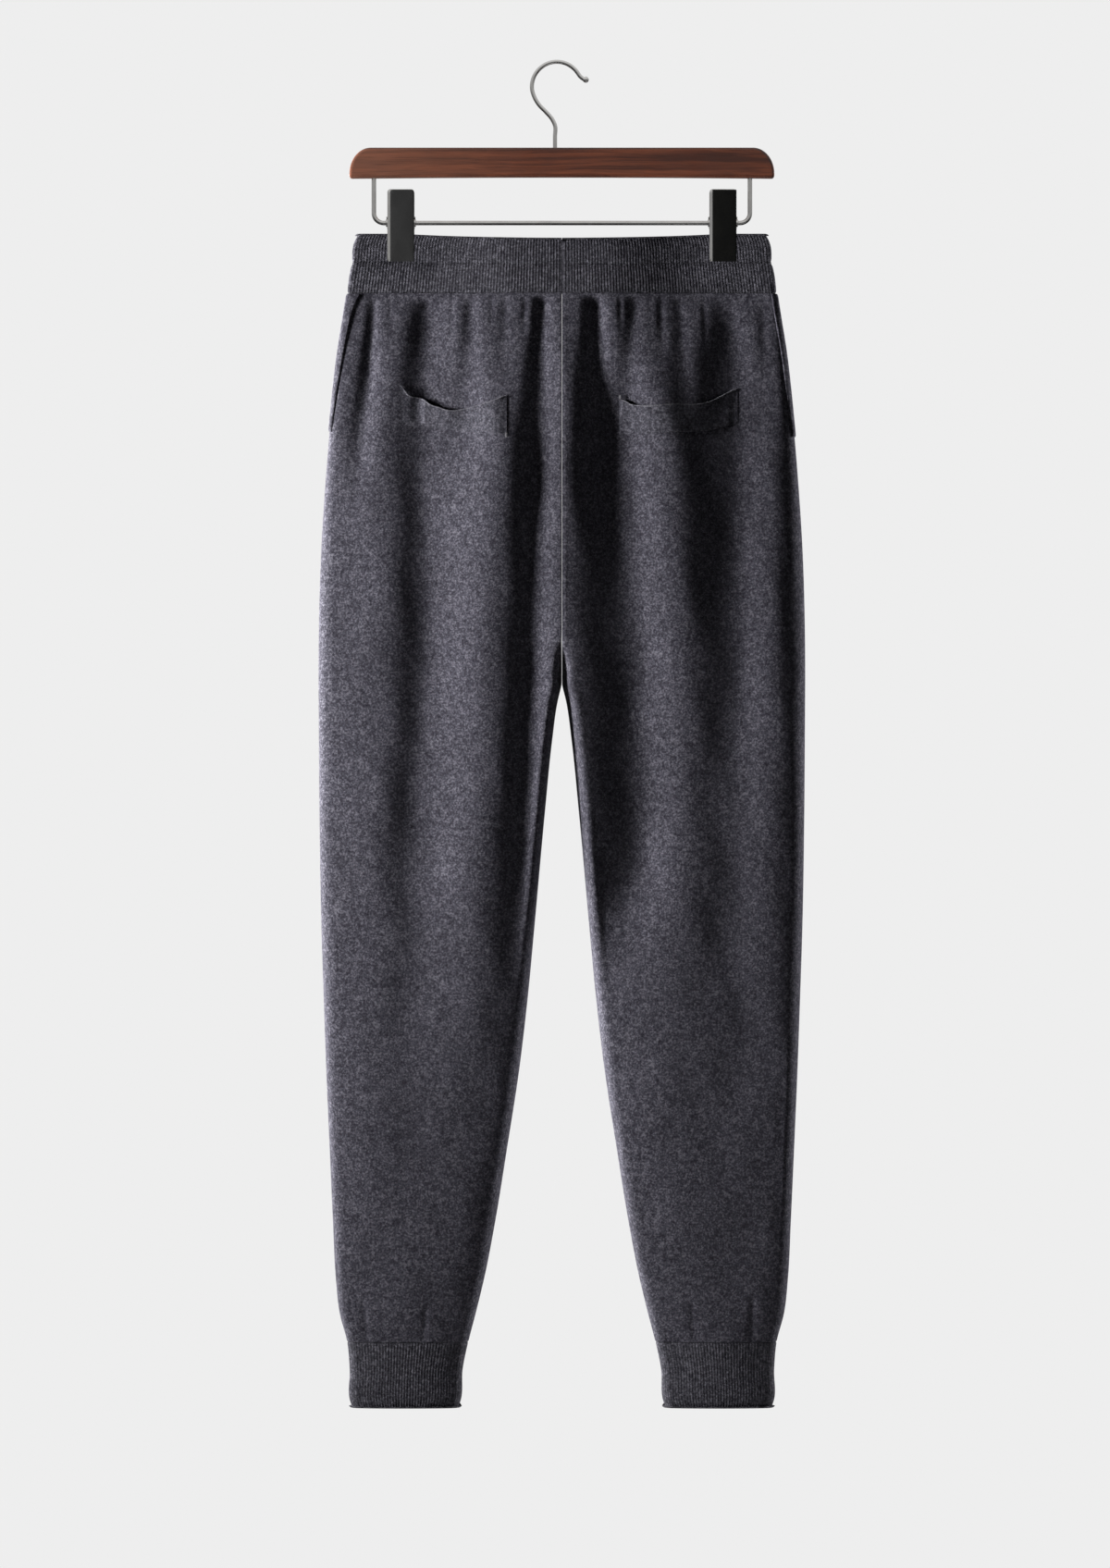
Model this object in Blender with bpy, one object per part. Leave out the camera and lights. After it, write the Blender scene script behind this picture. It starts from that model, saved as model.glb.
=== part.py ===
"""Knitted joggers hung by the waistband on a wooden clip hanger, seen from the back along +Y.

Metres, +Z up. The origin is the top of the hook's inside, where a rail carries the hanger.
The garment's back faces -Y, its front +Y, and the wearer's left is -X. Every cloth piece is
a wall: its outer face comes from the section of the garment at each height, and its inner
face lies one wall's thickness behind it.
"""

import math
from collections import namedtuple

import bmesh
import bpy
import numpy as np
from mathutils import Vector
from mathutils.bvhtree import BVHTree

# ------------------------------------------------------------------ driving sizes
SEAM_GAP = 0.0003
BODY_WALL = 0.0020
WAISTBAND_WALL = 0.0030
CUFF_WALL = 0.0026
WELT_WALL = 0.0016
FACING_WALL = 0.0012

BAR_X = 0.0044            # the bar and the garment hang this far right of the hook's seat
WAIST_TOP = -0.1480
WAIST_GROOVE = -0.1731
WAIST_SEAM = -0.1995
WAIST_SAG = 0.0040        # the waistband's top edge dips between the clips
CROTCH = -0.5381
CUFF_SEAM = -1.1109
CUFF_END = -1.1680
CLOSING = 0.045           # the hip section turns into two legs over this height
CLOSING_EASE = 1.5
FULLNESS_TOP = -0.2500    # the hips fill out into two rounded lobes below this height
FULLNESS_END = -0.5000
SPREAD_TOP = -0.3000      # columns move towards the inseam between these heights
SPREAD_END = -0.5600
HIP_SWELL = 1.10          # how slowly the section fills out from its side edge at the waist
HIP_FULLNESS = 0.55       # how much faster it fills out at the seat
LEG_SWELL = 0.50
INSEAM_ROLL = 0.0120      # above the knee a leg's inner edge rolls in over this width
THIGH_END = -0.6200       # the legs turn from full inner edges
SHIN_START = -0.9000      # to even ones between these heights
SEAM_EASE = 0.0140        # folds fade out over this width beside a seam
FOLD_START = 0.0090       # folds come up over this height below their top
FOLD_OPENING = 0.1200     # and open out over this one
FOLD_PINCHED = 0.45       # from this share of their width

RIB_PITCH = 0.0026
RIB_DEPTH = 0.0005
RING_MEASURE = 400        # steps along a ring when its length is measured
POINTS_PER_PLAIN = 9      # rib points beside each step of the plain inside
GROOVE_DEPTH = 0.0009     # the stitched line between the waistband's two tiers
GROOVE_LIP = 0.0014
CUFF_ROLL = 0.0040        # the cuff's folded end draws in over this height
PANEL_COLUMNS = 16
TURN_REACH = 0.022        # columns crowd where the section turns, as if each radian were this long

CLIP_X = 0.1400
CLIP_WIDTH = 0.0233
CLIP_TOP = -0.1094
CLIP_BOTTOM = -0.1721
JAW_OUTER = 0.0070
JAW_WALL = 0.0016
FACE_WIDTH = 0.0209
FACE_WALL = 0.0012
GRIP_TOP = -0.1510
GRIP_BOTTOM = -0.1708
PINCH_FLAT = 0.0140       # half the width that a clip presses flat
PINCH_FADE = 0.0300
PINCH_BELOW = 0.0040      # the cloth starts to open this far below the clip
PINCH_END = -0.2450       # and has opened again at this height

BAR_HALF_LENGTH = 0.1846
BAR_TOP = -0.0732
BAR_BOTTOM = -0.0997
BAR_DEPTH = 0.0130
BAR_SHOULDER = 0.0145
BAR_SHOULDER_DROP = 0.0205
BAR_ARCH = 0.0010
BAR_EDGE = 0.0022
BAR_EDGE_TURN = 50.0      # degrees: edges that turn more than this are rounded
HOOK_WIRE = 0.0018
HOOK_RADIUS = 0.0217
HOOK_STEM_X = -0.0016
HOOK_DEPTH_IN_BAR = 0.0180
HOOK_CROWN = (182.0, 36.0)  # degrees from +X where the round crown starts and ends
RAIL_WIRE = 0.0020
RAIL_X = 0.1635
RAIL_Z = -0.1384
RAIL_BEND = 0.0085
RAIL_DEPTH_IN_BAR = 0.0120
BORE_PLAY = 0.0003        # left at a bore's end
BORE_CLEARANCE = 0.0004   # left round the wire in it
BARREL_RADIUS = 0.0058
BARREL_LENGTH = 0.0300
GRIP_INSET = 0.0008       # the grips stay this far inside the jaws' sides
COVER_PROUD = 0.0004      # the covers stand past the jaws' ends
COVER_EDGE = 0.0004
GRIP_EDGE = 0.0003

# Half sizes of the garment's section at each height: outer edge, inner edge of the leg,
# half depth from front to back, and the radius of its rolled edges.
Section = namedtuple("Section", "z outer inner depth edge")
SECTIONS = (
    Section(-0.1480, 0.1792, 0.0000, 0.0098, 0.0045),
    Section(-0.1510, 0.1804, 0.0000, 0.0100, 0.0045),
    Section(-0.1731, 0.1836, 0.0000, 0.0108, 0.0046),
    Section(-0.1995, 0.1866, 0.0000, 0.0125, 0.0050),
    Section(-0.2180, 0.1894, 0.0000, 0.0160, 0.0058),
    Section(-0.2502, 0.1945, 0.0000, 0.0222, 0.0072),
    Section(-0.2984, 0.1999, 0.0000, 0.0280, 0.0085),
    Section(-0.3628, 0.2055, 0.0000, 0.0325, 0.0098),
    Section(-0.4272, 0.2095, 0.0000, 0.0345, 0.0110),
    Section(-0.4900, 0.2113, 0.0000, 0.0335, 0.0118),
    Section(-0.5381, 0.2116, 0.0000, 0.0312, 0.0120),
    Section(-0.5560, 0.2115, 0.0040, 0.0308, 0.0120),
    Section(-0.5880, 0.2113, 0.0084, 0.0306, 0.0120),
    Section(-0.6524, 0.2108, 0.0149, 0.0302, 0.0118),
    Section(-0.7489, 0.2092, 0.0237, 0.0288, 0.0112),
    Section(-0.8133, 0.2071, 0.0298, 0.0275, 0.0108),
    Section(-0.8776, 0.2048, 0.0375, 0.0262, 0.0104),
    Section(-0.9420, 0.2020, 0.0475, 0.0246, 0.0100),
    Section(-1.0063, 0.1991, 0.0579, 0.0230, 0.0096),
    Section(-1.0546, 0.1967, 0.0672, 0.0218, 0.0092),
    Section(-1.0868, 0.1931, 0.0750, 0.0202, 0.0088),
    Section(-1.1109, 0.1868, 0.0812, 0.0176, 0.0080),
    Section(-1.1350, 0.1846, 0.0861, 0.0160, 0.0075),
    Section(-1.1640, 0.1838, 0.0884, 0.0155, 0.0075),
    Section(-1.1680, 0.1822, 0.0900, 0.0145, 0.0068),
)

# Soft vertical folds, each through four places between its two heights, left wide on its left
# flank and right wide on its right one. A positive depth sinks into the cloth and a negative
# one stands out of it. A fold starts with its top share of its depth, and fades out from a
# share of its length on.
FOLD_COLUMNS = "z_top z_low x_top x_upper x_lower x_low left right depth top fade"
Fold = namedtuple("Fold", FOLD_COLUMNS)
BACK_FOLDS = (
    Fold(-0.1995, -0.4200, -0.1630, -0.1680, -0.1760, -0.1820, 0.010, 0.010, 0.0050, 0.70, 0.45),
    Fold(-0.1995, -1.0400, -0.1120, -0.1140, -0.1260, -0.1280, 0.026, 0.038, 0.0140, 0.62, 0.40),
    Fold(-0.1995, -0.3900, -0.0790, -0.0810, -0.0830, -0.0850, 0.014, 0.012, 0.0032, 0.75, 0.40),
    Fold(-0.1995, -0.2800, -0.0490, -0.0495, -0.0500, -0.0505, 0.011, 0.009, 0.0015, 0.75, 0.40),
    Fold(-0.1995, -0.8400, -0.0170, -0.0235, -0.0320, -0.0430, 0.015, 0.017, 0.0078, 0.62, 0.70),
    Fold(-0.1995, -0.4600, 0.0290, 0.0320, 0.0360, 0.0430, 0.019, 0.011, 0.0075, 0.75, 0.35),
    Fold(-0.1995, -0.3900, 0.0625, 0.0600, 0.0560, 0.0540, 0.015, 0.013, 0.0032, 0.70, 0.45),
    Fold(-0.2300, -0.8300, 0.0560, 0.0560, 0.0680, 0.0440, 0.034, 0.033, 0.0132, 0.00, 0.66),
    Fold(-0.1995, -0.3300, 0.1020, 0.1040, 0.1060, 0.1070, 0.012, 0.010, 0.0019, 0.75, 0.40),
    Fold(-0.1995, -0.3000, 0.1750, 0.1755, 0.1760, 0.1770, 0.009, 0.008, 0.0010, 0.75, 0.40),
    Fold(-0.1995, -1.0500, 0.1450, 0.1480, 0.1490, 0.1530, 0.034, 0.020, 0.0070, 0.60, 0.30),
    Fold(-0.2600, -0.9500, -0.0500, -0.0715, -0.0780, -0.0900, 0.034, 0.022, -0.0055, 0.00, 0.50),
    Fold(-0.2400, -1.0000, 0.0850, 0.0920, 0.0880, 0.0820, 0.024, 0.030, -0.0026, 0.00, 0.45),
    Fold(-0.2600, -0.7500, 0.1850, 0.1870, 0.1850, 0.1820, 0.016, 0.016, -0.0018, 0.00, 0.50),
)
FRONT_FOLDS = (
    Fold(-0.1995, -0.4700, -0.1600, -0.1640, -0.1700, -0.1740, 0.013, 0.013, 0.0045, 0.70, 0.50),
    Fold(-0.1995, -0.8800, -0.1120, -0.1180, -0.1290, -0.1340, 0.034, 0.024, 0.0090, 0.60, 0.35),
    Fold(-0.1995, -0.3400, -0.0700, -0.0710, -0.0720, -0.0730, 0.013, 0.011, 0.0030, 0.80, 0.40),
    Fold(-0.1995, -0.7800, -0.0300, -0.0330, -0.0440, -0.0560, 0.022, 0.028, 0.0100, 0.50, 0.60),
    Fold(-0.1995, -0.7300, 0.0270, 0.0320, 0.0430, 0.0480, 0.024, 0.020, 0.0095, 0.50, 0.60),
    Fold(-0.1995, -0.3300, 0.0780, 0.0790, 0.0790, 0.0800, 0.011, 0.013, 0.0030, 0.80, 0.40),
    Fold(-0.1995, -0.9400, 0.1260, 0.1320, 0.1360, 0.1300, 0.024, 0.034, 0.0080, 0.60, 0.35),
    Fold(-0.1995, -0.2800, 0.1610, 0.1620, 0.1640, 0.1650, 0.009, 0.009, 0.0026, 0.80, 0.40),
    Fold(-0.2600, -0.9600, -0.0860, -0.0900, -0.0940, -0.1000, 0.026, 0.030, -0.0050, 0.00, 0.50),
    Fold(-0.2600, -0.9800, 0.0840, 0.0860, 0.0880, 0.0940, 0.028, 0.024, -0.0050, 0.00, 0.50),
)

# Heights of a panel's rows, closer together under the waistband and at the crotch.
PANEL_ROWS = (
    WAIST_SEAM - SEAM_GAP / 2, -0.2080, -0.2190, -0.2340, -0.2540, -0.2800, -0.3080, -0.3380,
    -0.3750, -0.4150, -0.4550, -0.4920, -0.5170, -0.5320, -0.5430, -0.5620, -0.5950, -0.6400,
    -0.6950, -0.7550, -0.8150, -0.8750, -0.9350, -0.9950, -1.0450, -1.0780, -1.0960,
    CUFF_SEAM + SEAM_GAP / 2,
)

# Back pocket welts: the mouth's and the sewn edge's heights at places across the welt.
Mouth = namedtuple("Mouth", "x top bottom lift")
WELT_LEFT = (
    Mouth(-0.1404, -0.2830, -0.3145, 0.0002),
    Mouth(-0.1220, -0.2912, -0.3170, 0.0004),
    Mouth(-0.1160, -0.2968, -0.3172, 0.0018),
    Mouth(-0.0969, -0.3020, -0.3190, 0.0030),
    Mouth(-0.0768, -0.2992, -0.3215, 0.0018),
    Mouth(-0.0479, -0.2890, -0.3250, 0.0002),
)
WELT_RIGHT = (
    Mouth(0.0495, -0.2932, -0.3226, 0.0004),
    Mouth(0.0640, -0.2975, -0.3228, 0.0016),
    Mouth(0.0953, -0.2968, -0.3215, 0.0012),
    Mouth(0.1300, -0.2935, -0.3190, 0.0008),
    Mouth(0.1404, -0.2870, -0.3165, 0.0006),
    Mouth(0.1524, -0.2820, -0.3130, 0.0002),
)
WELT_COLUMNS = 22
WELT_ROWS = 3
WELT_LIFT = 0.0007        # clear of the panel between the welt's own columns

# Side pocket edges: how far each reaches from the side seam onto the back.
Facing = namedtuple("Facing", "z reach")
FACING_LEFT = (
    Facing(-0.2003, 0.0112), Facing(-0.2107, 0.0080), Facing(-0.2196, 0.0066),
    Facing(-0.2357, 0.0060), Facing(-0.2600, 0.0052), Facing(-0.2900, 0.0036),
    Facing(-0.3200, 0.0022),
)
FACING_RIGHT = (
    Facing(-0.2003, 0.0052), Facing(-0.2260, 0.0050), Facing(-0.2580, 0.0046),
    Facing(-0.2900, 0.0040), Facing(-0.3250, 0.0024),
)
FACING_COLUMNS = 5
FACING_ROWS = 8
FACING_LIFT = 0.0006
FACING_START = 0.025      # the edge starts this share of its reach from the side seam
FACING_CROWDING = 1.6     # its columns crowd towards the side seam
RAY_REACH = 0.0300        # a laid point is looked for from this far outside the panel
SIDEWAYS_SHARE = 0.05     # how much of the way out from a ring's middle counts sideways

# The hook's centre line below its round crown and past it, in the hanger's plane.
Bend = namedtuple("Bend", "x z")
HOOK_SWEEP = (
    Bend(-0.0042, -0.0480), Bend(-0.0098, -0.0415), Bend(-0.0158, -0.0352),
    Bend(-0.0197, -0.0285),
)
HOOK_TIP = (
    Bend(0.0206, -0.0112), Bend(0.0232, -0.0131), Bend(0.0262, -0.0138), Bend(0.0278, -0.0138),
)
HOOK_TIP_SWELLING = (1.15, 1.35, 0.80)  # the wire's thickness along the ball at its tip


# ------------------------------------------------------------------ scene and finishes
def clear_scene():
    """Remove every object that the new file starts with."""
    for obj in list(bpy.data.objects):
        bpy.data.objects.remove(obj, do_unlink=True)


def finish(name, color, roughness, metallic=0.0):
    """Return a Principled material."""
    material = bpy.data.materials.new(name)
    material.use_nodes = True
    shader = material.node_tree.nodes["Principled BSDF"]
    shader.inputs["Base Color"].default_value = (*color, 1.0)
    shader.inputs["Roughness"].default_value = roughness
    shader.inputs["Metallic"].default_value = metallic
    return material


def new_object(name, points, faces, material, parent, smooth_angle=math.radians(50)):
    """Return a mesh object with faces out, shaded smooth but for its sharp edges."""
    mesh = bpy.data.meshes.new(name)
    mesh.from_pydata([tuple(point) for point in points], [], faces)
    work = bmesh.new()
    work.from_mesh(mesh)
    bmesh.ops.recalc_face_normals(work, faces=work.faces)
    work.to_mesh(mesh)
    work.free()
    mesh.materials.append(material)
    mesh.shade_smooth()
    mesh.set_sharp_from_angle(angle=smooth_angle)
    obj = bpy.data.objects.new(name, mesh)
    obj.parent = parent
    bpy.context.scene.collection.objects.link(obj)
    return obj


# ------------------------------------------------------------------ curves and grids
def ramp(value):
    """Return 0 to 1 with soft ends as value goes from 0 to 1."""
    value = np.clip(value, 0.0, 1.0)
    return value * value * (3.0 - 2.0 * value)


def through(places, values, at):
    """Return a smooth curve through (places, values), read at the given place."""
    order = np.argsort(places)
    places = np.asarray(places, float)[order]
    values = np.asarray(values, float)[order]
    slopes = np.gradient(values, places)
    at = np.clip(at, places[0], places[-1])
    k = np.clip(np.searchsorted(places, at, side="right") - 1, 0, len(places) - 2)
    span = places[k + 1] - places[k]
    u = (at - places[k]) / span
    return (
        values[k] * (2 * u**3 - 3 * u**2 + 1)
        + slopes[k] * span * (u**3 - 2 * u**2 + u)
        + values[k + 1] * (3 * u**2 - 2 * u**3)
        + slopes[k + 1] * span * (u**3 - u**2)
    )


def column(table, field, place="z"):
    """Return one named column of a table beside the column that places its rows."""
    return [getattr(row, place) for row in table], [getattr(row, field) for row in table]


def resampled(line, count, turn_reach=0.0):
    """Return the positions, as fractions of its points, that share a line out evenly."""
    steps = np.diff(line, axis=0)
    lengths = np.linalg.norm(steps, axis=1)
    headings = np.unwrap(np.arctan2(steps[:, 1], steps[:, 0]))
    turns = np.abs(np.diff(headings, prepend=headings[0]))
    reach = np.concatenate([[0.0], np.cumsum(lengths + turn_reach * turns)])
    wanted = np.linspace(0.0, reach[-1], count + 1)
    return np.interp(wanted, reach, np.arange(len(line)))


def normals_of(grid, outward):
    """Return unit normals of a grid of points, on the side that outward points to."""
    across = np.gradient(grid, axis=1)
    down = np.gradient(grid, axis=0)
    normals = np.cross(across, down)
    normals /= np.linalg.norm(normals, axis=2, keepdims=True)
    facing = np.sum(normals * outward, axis=2, keepdims=True)
    return normals * np.sign(np.median(facing))


def sheet_faces(rows, columns, first):
    """Return the triangles of a grid whose points are numbered from first."""
    faces = []
    for i in range(rows - 1):
        for j in range(columns - 1):
            a = first + i * columns + j
            b = a + columns
            faces.append((a, a + 1, b + 1))
            faces.append((a, b + 1, b))
    return faces


def ladder(one, two):
    """Return triangles that join two lines of point numbers with any counts."""
    faces = []
    i = 0
    j = 0
    while i < len(one) - 1 or j < len(two) - 1:
        next_one = (i + 1) / (len(one) - 1)
        next_two = (j + 1) / (len(two) - 1)
        if j == len(two) - 1 or (i < len(one) - 1 and next_one <= next_two):
            faces.append((one[i], one[i + 1], two[j]))
            i += 1
        else:
            faces.append((one[i], two[j + 1], two[j]))
            j += 1
    return faces


def border(rows, columns, first):
    """Return a grid's four sides as lines of point numbers."""
    numbers = first + np.arange(rows * columns).reshape(rows, columns)
    return [list(map(int, side)) for side in
            (numbers[0], numbers[-1], numbers[:, 0], numbers[:, -1])]


def wall(name, outer, inner, material, parent):
    """Return a closed wall between an outer and an inner grid of points."""
    points = np.concatenate([outer.reshape(-1, 3), inner.reshape(-1, 3)])
    rows, columns = outer.shape[:2]
    inner_rows, inner_columns = inner.shape[:2]
    first = rows * columns
    faces = sheet_faces(rows, columns, 0)
    faces += [face[::-1] for face in sheet_faces(inner_rows, inner_columns, first)]
    sides = zip(border(rows, columns, 0), border(inner_rows, inner_columns, first))
    flips = (True, False, False, True)
    for (one, two), flip in zip(sides, flips):
        faces += [face[::-1] if flip else face for face in ladder(one, two)]
    return new_object(name, points, faces, material, parent)


# ------------------------------------------------------------------ the garment's form
def size_at(field, z):
    """Return one of the section's half sizes at a height."""
    return through(*column(SECTIONS, field), z)


def closed_share(z):
    """Return 0 where the two legs share one section and 1 where each has its own."""
    return ramp((CROTCH + CLOSING - z) / CLOSING) ** CLOSING_EASE


def rolled(distance, radius):
    """Return a quarter circle's height over the distance from its edge, as a share."""
    u = np.clip(distance / radius, 0.0, 1.0)
    return np.sqrt(np.clip(1.0 - (1.0 - u) ** 2, 0.0, 1.0))


def fold_depth(folds, x, z):
    """Return how far the folds sink the cloth at a place."""
    total = np.zeros_like(x)
    for fold in folds:
        along = (fold.z_top - z) / (fold.z_top - fold.z_low)
        stops = np.linspace(0.0, 1.0, 4)
        centre = through(stops, (fold.x_top, fold.x_upper, fold.x_lower, fold.x_low), along)
        opened = ramp((fold.z_top - z) / FOLD_OPENING)
        deepened = fold.top + (1.0 - fold.top) * opened
        fade = ramp((along - fold.fade) / (1.0 - fold.fade))
        strength = ramp((fold.z_top - z) / FOLD_START) * (1.0 - fade) * deepened
        widened = FOLD_PINCHED + (1.0 - FOLD_PINCHED) * opened
        width = np.where(x < centre, fold.left, fold.right) * widened
        inside = (along > 0.0) & (along < 1.0)
        profile = np.exp(-(((x - centre) / width) ** 2))
        total = total + inside * fold.depth * strength * profile
    return total


def pinch_share(x, z):
    """Return 1 where a clip presses the waistband flat, fading away from it."""
    across = 1.0 - ramp((abs(np.abs(x) - CLIP_X) - PINCH_FLAT) / PINCH_FADE)
    opening = CLIP_BOTTOM - PINCH_BELOW
    down = 1.0 - ramp((opening - z) / (opening - PINCH_END))
    return across * down


def cloth_points(side, face, share, z, folds=(), closed=None):
    """Return points of the garment's outer face.

    side is -1 on the left and 1 on the right, face -1 on the back and 1 on the front, and
    share runs from 0 at the side seam to 1 at the centre seam or the inseam. closed is 0
    for one section round both legs and 1 for a section of each leg, and by default what
    the height gives.
    """
    share = np.asarray(share, float)
    outer = size_at("outer", z)
    inner = np.maximum(size_at("inner", z), SEAM_GAP / 2)
    depth = size_at("depth", z)
    edge = size_at("edge", z)
    closed = closed_share(z) if closed is None else closed
    width = outer - inner
    out_roll = rolled(share * width, edge)
    in_roll = 1.0 + closed * (rolled((1.0 - share) * width, edge) - 1.0)
    fullness = ramp((FULLNESS_TOP - z) / (FULLNESS_TOP - FULLNESS_END))
    open_swell = np.sin(share * math.pi / 2) ** (HIP_SWELL - HIP_FULLNESS * fullness)
    full_swell = open_swell * rolled((1.0 - share) * width, INSEAM_ROLL)
    even_swell = np.clip(np.sin(share * math.pi), 0.0, 1.0) ** LEG_SWELL
    evened = ramp((THIGH_END - z) / (THIGH_END - SHIN_START))
    swell = open_swell + closed * (full_swell + evened * (even_swell - full_swell) - open_swell)
    half = edge * out_roll * in_roll + (depth - edge) * swell
    x = side * (outer - share * width)
    if len(folds):
        from_inner = ramp((1.0 - share) * width / SEAM_EASE)
        from_edges = ramp(share * width / SEAM_EASE) * (1.0 + closed * (from_inner - 1.0))
        half = half - fold_depth(folds, x, z) * from_edges
    pressed = WAISTBAND_WALL + SEAM_GAP
    half = half + pinch_share(x, z) * np.minimum(pressed - half, 0.0)
    half = np.maximum(half, SEAM_GAP / 2)
    return np.stack([x, face * half, np.full_like(x, z)], axis=-1)


def spaced_shares(z, count, turn_reach, dense=320):
    """Return shares from the side seam to the inner edge, crowded where the section turns."""
    even = np.linspace(0.0, 1.0, dense)
    share = (1.0 - np.cos(math.pi * even)) / 2
    layouts = [np.interp(resampled(cloth_points(1, 1, share, z, closed=closed), count, turn_reach),
                         np.arange(dense), share) for closed in (0.0, 1.0)]
    moved = ramp((SPREAD_TOP - z) / (SPREAD_TOP - SPREAD_END))
    return layouts[0] + (layouts[1] - layouts[0]) * moved


# ------------------------------------------------------------------ cloth pieces
def panel_grids(side, face, folds):
    """Return the outer and inner grids of one of the four leg panels."""
    rows = [cloth_points(side, face, spaced_shares(z, PANEL_COLUMNS, TURN_REACH), z, folds)
            for z in PANEL_ROWS]
    outer = np.array(rows)
    inner = outer - BODY_WALL * normals_of(outer, np.array([0.0, face, 0.0]))
    inner[0, :, 2] = outer[0, :, 2]
    inner[-1, :, 2] = outer[-1, :, 2]
    inner[..., 0] = side * np.maximum(side * inner[..., 0], SEAM_GAP / 2)
    inner[..., 1] = face * np.maximum(face * inner[..., 1], SEAM_GAP / 2)
    return outer, inner


def ring_rows(heights, path, count, dense=1200):
    """Return rows of points along a path of (side, face, share from, share to) stretches."""
    rows = []
    for z in heights:
        even = np.linspace(0.0, 1.0, dense)
        ease = (1.0 - np.cos(math.pi * even)) / 2
        line = np.concatenate([cloth_points(side, face, start + (stop - start) * ease, z)
                               for side, face, start, stop in path])
        places = resampled(line, count)
        whole = np.arange(len(line))
        rows.append(np.stack([np.interp(places, whole, line[:, k]) for k in range(3)], axis=-1))
    return np.array(rows)


def outward_of(grid, centre_x):
    """Return the direction from the section's middle to each point."""
    away = grid - np.array([centre_x, 0.0, 0.0])
    away[..., 2] = 0.0
    away[..., 0] *= SIDEWAYS_SHARE
    return away


def ribbed_ring(heights, drops, path, wall_size, centre_x):
    """Return the grids of an open-ended ring of cloth: ribs outside, plain inside.

    drops gives how far the outer face lies behind the section at each height.
    """
    first = ring_rows(heights[:1], path, RING_MEASURE)[0]
    length = np.linalg.norm(np.diff(first, axis=0), axis=1).sum()
    count = 2 * round(length / RIB_PITCH)
    inner_count = round(count / POINTS_PER_PLAIN)
    base = ring_rows(heights, path, count)
    normals = normals_of(base, outward_of(base, centre_x))
    valley = (np.arange(count + 1) % 2)[None, :, None] * RIB_DEPTH
    outer = base - normals * (valley + np.asarray(drops)[:, None, None])
    ends = ring_rows((heights[0], heights[-1]), path, inner_count)
    inner = ends - wall_size * normals_of(ends, outward_of(ends, centre_x))
    inner[..., 2] = ends[..., 2]
    outer[..., 2] = base[..., 2]
    return outer, inner


def add_waistband(material, parent):
    """Add the ribbed waistband, one strip round the waist joined at the centre back."""
    path = ((1, -1, 1.0, 0.0), (1, 1, 0.0, 1.0), (-1, 1, 1.0, 0.0), (-1, -1, 0.0, 1.0))
    bottom = WAIST_SEAM + SEAM_GAP / 2
    heights = (WAIST_TOP, WAIST_GROOVE + GROOVE_LIP, WAIST_GROOVE, bottom)
    outer, inner = ribbed_ring(heights, (0.0, 0.0, GROOVE_DEPTH, 0.0), path, WAISTBAND_WALL, 0.0)
    for grid in (outer, inner):
        held = (grid[..., 2] - bottom) / (WAIST_TOP - bottom)
        between = np.clip(1.0 - (grid[..., 0] / CLIP_X) ** 2, 0.0, 1.0)
        grid[..., 2] -= WAIST_SAG * held * between
    return wall("waistband", outer, inner, material, parent)


def add_cuff(name, side, material, parent):
    """Add a ribbed cuff, one strip round the ankle joined at the inseam."""
    path = ((side, -1, 1.0, 0.0), (side, 1, 0.0, 1.0))
    heights = (CUFF_SEAM - SEAM_GAP / 2, CUFF_END + CUFF_ROLL, CUFF_END)
    centre = side * (size_at("outer", CUFF_SEAM) + size_at("inner", CUFF_SEAM)) / 2
    outer, inner = ribbed_ring(heights, (0.0, 0.0, 0.0), path, CUFF_WALL, centre)
    inner[..., 0] = side * np.maximum(side * inner[..., 0], SEAM_GAP / 2)
    return wall(name, outer, inner, material, parent)


def tree_of(obj):
    """Return a search tree over an object's own faces."""
    points = [vertex.co.copy() for vertex in obj.data.vertices]
    faces = [tuple(polygon.vertices) for polygon in obj.data.polygons]
    return BVHTree.FromPolygons(points, faces)


def laid_on(tree, grid, normals, lifts):
    """Return a grid's points moved onto a panel's face and then out by each lift."""
    laid = np.empty_like(grid)
    for index in np.ndindex(grid.shape[:2]):
        start = Vector(grid[index]) + RAY_REACH * Vector(normals[index])
        hit = tree.ray_cast(start, -Vector(normals[index]))[0]
        foot = hit if hit is not None else tree.find_nearest(Vector(grid[index]))[0]
        laid[index] = np.array(foot) + normals[index] * lifts[index]
    return laid


def add_welt(name, mouths, tree, material, parent):
    """Add a back pocket's welt, sewn on along its lower edge and gaping at its mouth."""
    xs = np.linspace(mouths[0].x, mouths[-1].x, WELT_COLUMNS + 1)
    tops = np.interp(xs, *column(mouths, "top", "x"))
    bottoms = np.interp(xs, *column(mouths, "bottom", "x"))
    gapes = np.interp(xs, *column(mouths, "lift", "x"))
    side = int(np.sign(xs[0]))
    grid = np.empty((WELT_ROWS + 1, WELT_COLUMNS + 1, 3))
    lifts = np.empty(grid.shape[:2])
    for i in range(WELT_ROWS + 1):
        down = i / WELT_ROWS
        for j, x in enumerate(xs):
            z = tops[j] + (bottoms[j] - tops[j]) * down
            outer = size_at("outer", z)
            share = (outer - abs(x)) / (outer - SEAM_GAP / 2)
            grid[i, j] = cloth_points(side, -1, np.array([share]), z, BACK_FOLDS)[0]
            lifts[i, j] = WELT_LIFT + gapes[j] * (1.0 - down) ** 2
    normals = normals_of(grid, np.array([0.0, -1.0, 0.0]))
    inner = laid_on(tree, grid, normals, lifts)
    outer = laid_on(tree, grid, normals, lifts + WELT_WALL)
    return wall(name, outer, inner, material, parent)


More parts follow.
